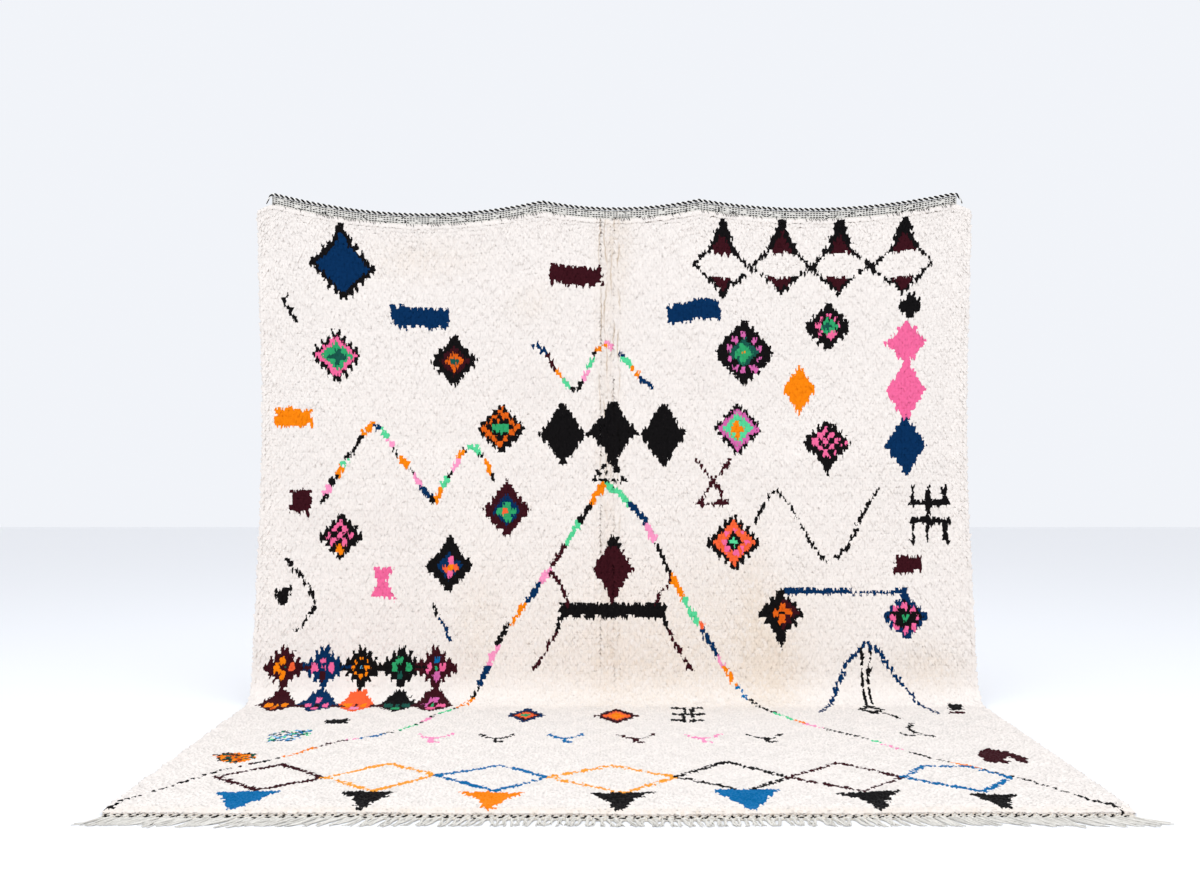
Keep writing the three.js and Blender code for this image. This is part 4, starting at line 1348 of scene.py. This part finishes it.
def strip(name, rings, material, wool):
    """A closed strip from one ring of corners at each stop along it. A ring's corners run clockwise for
    someone who looks along the strip from its start."""
    stops, sides = rings.shape[:2]
    at = np.arange(stops * sides).reshape(stops, sides)
    after = np.roll(at, -1, axis=1)
    faces = np.stack([at[:-1], after[:-1], after[1:], at[1:]], -1).reshape(-1, 4).tolist()
    faces += [at[0, ::-1].tolist(), at[-1].tolist()]
    along, round_it = np.meshgrid(np.linspace(0, 1, stops), np.linspace(0, 1, sides + 1), indexing="ij")
    layout = np.stack([along, round_it], -1)
    corners = [layout[:-1, :-1], layout[:-1, 1:], layout[1:, 1:], layout[1:, :-1]]
    spread = np.stack(corners, 2).reshape(-1, 2)
    spread = np.concatenate([spread, np.zeros((2 * sides, 2))])
    return solid_mesh(name, rings, faces, material, wool, {"OFBake": spread, "Hair": spread * (stops, 1)})


def band_strip():
    across = np.linspace(-BAND_HALF, BAND_HALF, BAND_STOPS)
    profile = [(BAND_GAP, 0), (BAND_TALL, 0), (BAND_TALL, BAND_THICK), (BAND_GAP, BAND_THICK)]
    rings = np.stack([above_head(across, tall, out) for tall, out in profile], 1)
    return strip("head_band", rings, ply_yarn, WHITE_YARN * 0.93)


def band_picks():
    places, sizes, wools, across_all = [], [], [], []
    for row, kind in enumerate(BAND_ROWS):
        pick = PICK_LONG[kind]
        across = np.arange(-BAND_HALF + 0.5 * pick * (row % 2), BAND_HALF - pick, pick)
        if kind == "white":
            dark = chance.random(len(across)) < DARK_IN_WHITE
        else:
            patchy = np.sin(across / 0.17 * 2 * np.pi + row) + np.sin(across / 0.071 * 2 * np.pi)
            dark = (chance.random(len(across)) < DARK_IN_LINE) & (patchy > -1.4)
        tall = BAND_TALL - (row + 0.5) * ROW_TALL
        places.append(above_head(across, tall, BAND_THICK * 0.9))
        across_all.append(across)
        wools.append(np.where(dark[:, None], BLACK_YARN, WHITE_YARN))
        sizes.append(np.tile((PICK_HALF * 0.8, ROW_TALL * 0.56, pick * PICK_SHARE[kind]), (len(across), 1)))
    across = np.concatenate(across_all)
    place = np.concatenate(places)
    way = unit(above_head(across + 0.01, 0, 0) - above_head(across, 0, 0))
    spots = {
        "place": place,
        "way": way,
        "bend": np.tile((0, -1, 0), (len(way), 1)),
        "size": np.concatenate(sizes),
        "wool": np.concatenate(wools),
    }
    cells = (60, math.ceil(len(way) / 60))
    settings = {"Sides": 5, "Rings": 3, "Swell": 0.5, "Tip bend": 0.0, "Spin": 0.1, "Seed": 11}
    return grow("head_picks", spots, ply_yarn, cells, **settings)


head_band = finished(band_strip())
head_picks = band_picks()

# %% [markdown]
# Short black ends hang from the band over the first knots, in clusters, where the dark weft was turned
# and cut.

# %% Hanging ends under the band
ENDS_APART = 0.0075
END_SHORT = 0.013
END_MORE = 0.009
END_HALF = 0.0014
END_HIGH = 0.004  # above the field's top edge


def hanging_ends():
    across = np.arange(-BAND_HALF + 0.02, BAND_HALF - 0.02, ENDS_APART)
    thick = np.sin(across / 0.41 * 2 * np.pi + 0.6) + 0.8 * np.sin(across / 0.117 * 2 * np.pi)
    across = across[(thick + 0.9 * chance.standard_normal(len(across))) > 0.35]
    count = len(across)
    long = END_SHORT + END_MORE * chance.random(count)
    way = np.tile((0.0, -0.35, -1.0), (count, 1))
    way[:, 0] = 0.45 + 0.25 * chance.standard_normal(count)
    spots = {
        "place": above_head(across, END_HIGH, PILE_TIPS * 0.62),
        "way": unit(way),
        "bend": np.tile((0, -1, 0), (count, 1)),
        "size": np.stack([0 * long + END_HALF, 0 * long + END_HALF, long], 1),
        "wool": np.tile(BLACK_YARN, (count, 1)),
    }
    cells = (16, math.ceil(count / 16))
    settings = {"Sides": 4, "Rings": 3, "Swell": 0.5, "Tip bend": 0.6, "Spin": 0.5, "Seed": 12}
    return grow("head_ends", spots, ply_yarn, cells, **settings)


head_ends = hanging_ends()

# %% [markdown]
# ## The twined edge cord
#
# A black and a white yarn are twined round each other along the very edge. Each is a helix about the
# cord's middle line, and the two are half a turn apart. At both sides the ends come free and droop.

# %% Round yarns along paths
SLANTED = (0.137, 0.211, 1.0)  # a direction that no yarn runs in


def tubes(name, paths, halves, sides, material, wool):
    """Round yarns along paths, an array of (yarns, stops, 3), with the half thickness at each stop."""
    count, stops = paths.shape[:2]
    way = unit(np.gradient(paths, axis=1))
    aside = unit(np.cross(way, SLANTED))
    above = np.cross(aside, way)
    angle = np.linspace(0, 2 * np.pi, sides, endpoint=False)
    ring = np.cos(angle)[:, None] * aside[:, :, None] + np.sin(angle)[:, None] * above[:, :, None]
    places = paths[:, :, None] + halves[:, :, None, None] * ring
    at = np.arange(count * stops * sides).reshape(count, stops, sides)
    after = np.roll(at, -1, axis=2)
    walls = np.stack([at[:, :-1], after[:, :-1], after[:, 1:], at[:, 1:]], -1).reshape(-1, 4)
    faces = [*walls.tolist(), *at[:, 0, ::-1].tolist(), *at[:, -1].tolist()]
    number, along, round_it = np.meshgrid(
        np.arange(count), np.linspace(0, 1, stops), np.linspace(0, 0.9, sides + 1), indexing="ij"
    )
    layout = np.stack([(number + round_it) / count, along], -1)
    corners = [layout[:, :-1, :-1], layout[:, :-1, 1:], layout[:, 1:, 1:], layout[:, 1:, :-1]]
    spread = np.stack(corners, 3).reshape(-1, 2)
    ends = np.concatenate([np.repeat(layout[:, n, 0], sides, axis=0) for n in (0, -1)])
    per_yarn = np.broadcast_to(wool, (count, 3))
    on_walls = np.repeat(per_yarn, walls.size // count, axis=0)
    on_ends = np.repeat(per_yarn, sides, axis=0)
    shades = np.concatenate([on_walls, on_ends, on_ends])
    spread = np.concatenate([spread, ends])
    maps = {"OFBake": spread, "Hair": spread * (count, stops / 3)}
    return finished(solid_mesh(name, places, faces, material, shades, maps))


# %% The edge cord
CORD_HALF = 0.0055
CORD_TURN = 0.023
CORD_MIDDLE = BAND_TALL + BAND_GAP + CORD_HALF * 1.25
STRAND_HALF = 0.0034
STRAND_OUT = 0.0029
STRAND_SHARES = (1.2, 0.85)  # the black yarn is thicker than the white
TURN_STOPS = 10
TAIL_FADE = (0.45, 0.7, 0.9)
CORD_TAIL = [(0.008, CORD_MIDDLE - 0.006), (0.017, 0.024), (0.023, 0.010)]  # past the band, height


def edge_cord():
    turns = round(2 * BAND_HALF / CORD_TURN)
    across = np.linspace(-BAND_HALF, BAND_HALF, turns * TURN_STOPS + 1)
    tall = np.full(len(across), CORD_MIDDLE)
    for side in (-1, 1):
        past, low = np.array(CORD_TAIL).T
        ends = (side * (BAND_HALF + past), low)
        if side < 0:
            across, tall = np.r_[ends[0][::-1], across], np.r_[ends[1][::-1], tall]
        else:
            across, tall = np.r_[across, ends[0]], np.r_[tall, ends[1]]
    middle = above_head(np.clip(across, -FIELD_HALF, FIELD_HALF), tall, CORD_HALF)
    angle = -across / CORD_TURN * 2 * np.pi
    fade = np.ones(len(across))
    fade[:3] = fade[-3:][::-1] = TAIL_FADE
    strands = []
    for start in (0, math.pi):
        round_it = np.stack([0 * angle, -np.cos(angle + start), np.sin(angle + start)], -1)
        strands.append(middle + STRAND_OUT * round_it)
    halves = STRAND_HALF * fade * np.array(STRAND_SHARES)[:, None]
    return tubes("edge_cord", np.array(strands), halves, 6, ply_yarn, np.array([BLACK_YARN, WHITE_YARN]))


cord = edge_cord()
print("edge cord", len(cord.data.polygons), "faces")

# %% [markdown]
# ## The twined foot band and the loose warps
#
# At the foot the warps leave the pile, run under two rows of black and white twining that lock them, and
# end as a fringe of loose plied yarns. The yarns lean outwards towards both corners, as the rug was laid
# down with a pull at each of them.

# %% The foot band
FOOT_BAND = 0.052
FOOT_THICK = 0.004
WARP_RIB = 0.0011
FOOT_WOOL = (224, 216, 204)
FOOT_STOPS = 611
TWINING_ROWS = [  # past the pile, length of one crossing, the share that its dark pick fills, slant
    (0.025, 0.024, 0.45, -0.8),
    (0.045, 0.040, 0.62, -0.25),
]
TWINING_STRAY = 0.0012


def foot_place(across, past, tall):
    """A place on the floor, a distance past the foot of the pile."""
    place = cloth(across, FIELD_LONG, 0)
    place[..., 1] -= past
    place[..., 2] = tall
    return place


def foot_band():
    across = np.linspace(-FIELD_HALF, FIELD_HALF, FOOT_STOPS)
    ribs = WARP_RIB * (np.arange(FOOT_STOPS) % 2)
    rows = [0.0003, 0.012, 0.026, 0.040, FOOT_BAND]
    top = [foot_place(across, past, FOOT_THICK - WARP_RIB + ribs) for past in rows]
    under = [foot_place(across, past, 0 * across) for past in (rows[-1], rows[0])]
    rings = np.stack([*top, *under], 1)
    return strip("foot_band", rings, ply_yarn, linear(FOOT_WOOL))


def twining():
    """Two rows of paired weft, which cross between two clusters of warps. The second row's picks are
    longer and lie less evenly."""
    picks = []
    for n, (past, long, dark_share, slant) in enumerate(TWINING_ROWS):
        across = np.arange(-FIELD_HALF + 0.006, FIELD_HALF - long, long / 2)
        across = across + TWINING_STRAY * chance.standard_normal(len(across))
        dark = np.arange(len(across)) % 2 == 0
        tilt = slant * (1 + n * 1.6 * chance.standard_normal(len(across)))
        way = unit(np.stack([1 + 0 * across, -tilt, 0.05 + 0 * across], 1))
        size = np.stack([0 * across + 0.0024, 0 * across + 0.0026, long * np.where(dark, dark_share, 0.5)], 1)
        wool = np.where(dark[:, None], BLACK_YARN, WHITE_YARN)
        place = foot_place(across, past, FOOT_THICK + 0.0012)
        picks.append((place, way, size, wool))
    place, way, size, wool = (np.concatenate(column) for column in zip(*picks))
    bend = np.tile((0, 0, 1), (len(way), 1))
    spots = {"place": place, "way": way, "bend": bend, "size": size, "wool": wool}
    cells = (24, math.ceil(len(way) / 24))
    settings = {"Sides": 6, "Rings": 4, "Swell": 0.5, "Tip bend": 0.0, "Spin": 0.2, "Seed": 13}
    return grow("foot_twining", spots, ply_yarn, cells, **settings)


foot = finished(foot_band())
foot_twining = twining()

# %% The fringe
TUFTS = [  # across, lean in degrees, reach
    (-1.525, -48, 0.096),
    (-1.000, -48, 0.105),
    (-0.560, -20, 0.078),
    (0.000, 0, 0.068),
    (0.620, 10, 0.074),
    (1.050, 42, 0.100),
    (1.525, 58, 0.118),
]
TUFT_COUNT = 152
TUFT_YARNS = 5
YARN_STOPS = 9
WARP_HALF = 0.0028
WARP_APART = 0.0031
GATHER = 0.0022  # how far the outer yarns of a tuft draw together
WAVE = 0.0030
TUFT_STRAY = 11  # degrees, of whole tufts
WARP_STRAY = 4  # degrees, of single warps
SIDE_LIMIT = 1.618  # no warp lies further out
FRINGE_WOOL = (224, 220, 212)


def fringe():
    table = np.array(TUFTS).T
    tuft = np.repeat(np.arange(TUFT_COUNT), TUFT_YARNS)
    yarn = np.tile(np.arange(TUFT_YARNS), TUFT_COUNT)
    count = len(tuft)
    middle = (tuft + 0.5) / TUFT_COUNT * 2 * FIELD_HALF - FIELD_HALF
    wander = np.repeat(chance.standard_normal(TUFT_COUNT), TUFT_YARNS)
    across = middle + (yarn - (TUFT_YARNS - 1) / 2) * WARP_APART
    lean = np.interp(middle, table[0], table[1]) + TUFT_STRAY * wander
    lean = lean + WARP_STRAY * chance.standard_normal(count)
    reach = np.interp(middle, table[0], table[2]) * (0.8 + 0.24 * chance.random(count))
    t = np.linspace(0, 1, YARN_STOPS)[None, :]
    turn = np.radians(lean[:, None] * (0.35 + 0.75 * t))
    step = reach[:, None] / (t.size - 1)
    along = np.cumsum(np.concatenate([np.zeros((count, 1)), np.sin(turn[:, 1:]) * step], 1), axis=1)
    ahead = np.cumsum(np.concatenate([np.zeros((count, 1)), np.cos(turn[:, 1:]) * step], 1), axis=1)
    wave = WAVE * t * np.sin(t * 8 + 6 * chance.random((count, 1)))
    gather = (yarn[:, None] - (TUFT_YARNS - 1) / 2) * -GATHER * np.sin(np.pi * t**0.7)
    x = np.clip(across[:, None] + along + wave + gather, -SIDE_LIMIT, SIDE_LIMIT)
    root = foot_place(across, FOOT_BAND - 0.004, 0 * across)
    halves = WARP_HALF * (1 - 0.55 * t**2) * (1 + 0.12 * chance.standard_normal((count, 1)))
    pile_up = 0.0026 * np.abs(np.sin(t * np.pi + yarn[:, None])) * (yarn[:, None] % 2)
    paths = np.stack([x, root[:, 1:2] - ahead, halves + 0.0002 + pile_up], -1)
    shade = linear(FRINGE_WOOL) * (1 + 0.05 * chance.standard_normal((count, 1)))
    return tubes("warp_ends", paths, halves, 4, ply_yarn, np.clip(shade, 0, 1))


warp_ends = fringe()
print("fringe", TUFT_COUNT, "tufts of", TUFT_YARNS, "yarns,", len(warp_ends.data.polygons), "faces")

# %% [markdown]
# ## Telling the frame what each piece is
#
# Each piece rides on the rug's one body and stands for its plain solid.

# %% Pieces on the body
REPLACED = {
    "pile_field": [ground, *pile],
    "kilim_header": [head_band, head_picks, head_ends],
    "header_cord": [cord],
    "fringe": [foot, foot_twining, warp_ends],
}
for node, pieces in REPLACED.items():
    for piece in pieces:
        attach(piece, "root")
        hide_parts(node)

print("triangles in all", sum(triangles_in(piece.data) for pieces in REPLACED.values() for piece in pieces))

# %% [markdown]
# ## Floor and light
#
# A plain pale floor and soft, even light. The world gives most of it. A wide soft light from above and two
# weaker ones from the upper left and the upper right give the wool its slight shading.

# %% Floor and light
FLOOR_HALF = 14.0
FLOOR_LOW = -0.0005  # just under the cloth's back, so that the two don't flicker
FLOOR_PAINT = (0.90, 0.905, 0.92, 1)
WORLD_COLOUR = (0.95, 0.973, 1.02, 1.0)
WORLD_STRENGTH = 0.93

floor_mesh = bpy.data.meshes.new("floor")
floor_corners = [(x * FLOOR_HALF, y * FLOOR_HALF, 0) for x, y in ((-1, -1), (1, -1), (1, 1), (-1, 1))]
floor_mesh.from_pydata(floor_corners, [], [(0, 1, 2, 3)])
floor = bpy.data.objects.new("floor", floor_mesh)
floor.location.z = FLOOR_LOW
floor_material, _, floor_shader = new_material("pale_floor", 0.5, 0.0)
floor_shader.inputs["Base Color"].default_value = FLOOR_PAINT
floor_mesh.materials.append(floor_material)
bpy.context.scene.collection.objects.link(floor)

world = bpy.data.worlds.new("soft_daylight")
world.use_nodes = True
world.node_tree.nodes["Background"].inputs["Color"].default_value = WORLD_COLOUR
world.node_tree.nodes["Background"].inputs["Strength"].default_value = WORLD_STRENGTH
bpy.context.scene.world = world


def soft_light(name, place, aim, size, power, colour=(1, 1, 1)):
    light = bpy.data.lights.new(name, "AREA")
    light.color = colour
    light.shape = "RECTANGLE"
    light.size, light.size_y = size
    light.energy = power
    obj = bpy.data.objects.new(name, light)
    obj.location = place
    way = np.array(aim) - np.array(place)
    flat = math.hypot(way[0], way[1])
    obj.rotation_euler = (math.pi / 2 + math.atan2(way[2], flat), 0, math.atan2(way[1], way[0]) - math.pi / 2)
    bpy.context.scene.collection.objects.link(obj)


soft_light("key", (-2.6, -4.6, 4.2), (0, 0.6, 0.9), (3.5, 3.0), 18)
soft_light("top", (0, -0.9, 6.2), (0, 0.0, 0), (6.2, 5.0), 172, colour=(0.90, 0.95, 1.0))
soft_light("fill", (3.4, -4.4, 3.0), (0, 0.4, 0.9), (3.0, 3.0), 10)
bpy.context.scene.view_settings.view_transform = "Standard"
print("lights:", [light.name for light in bpy.data.lights])
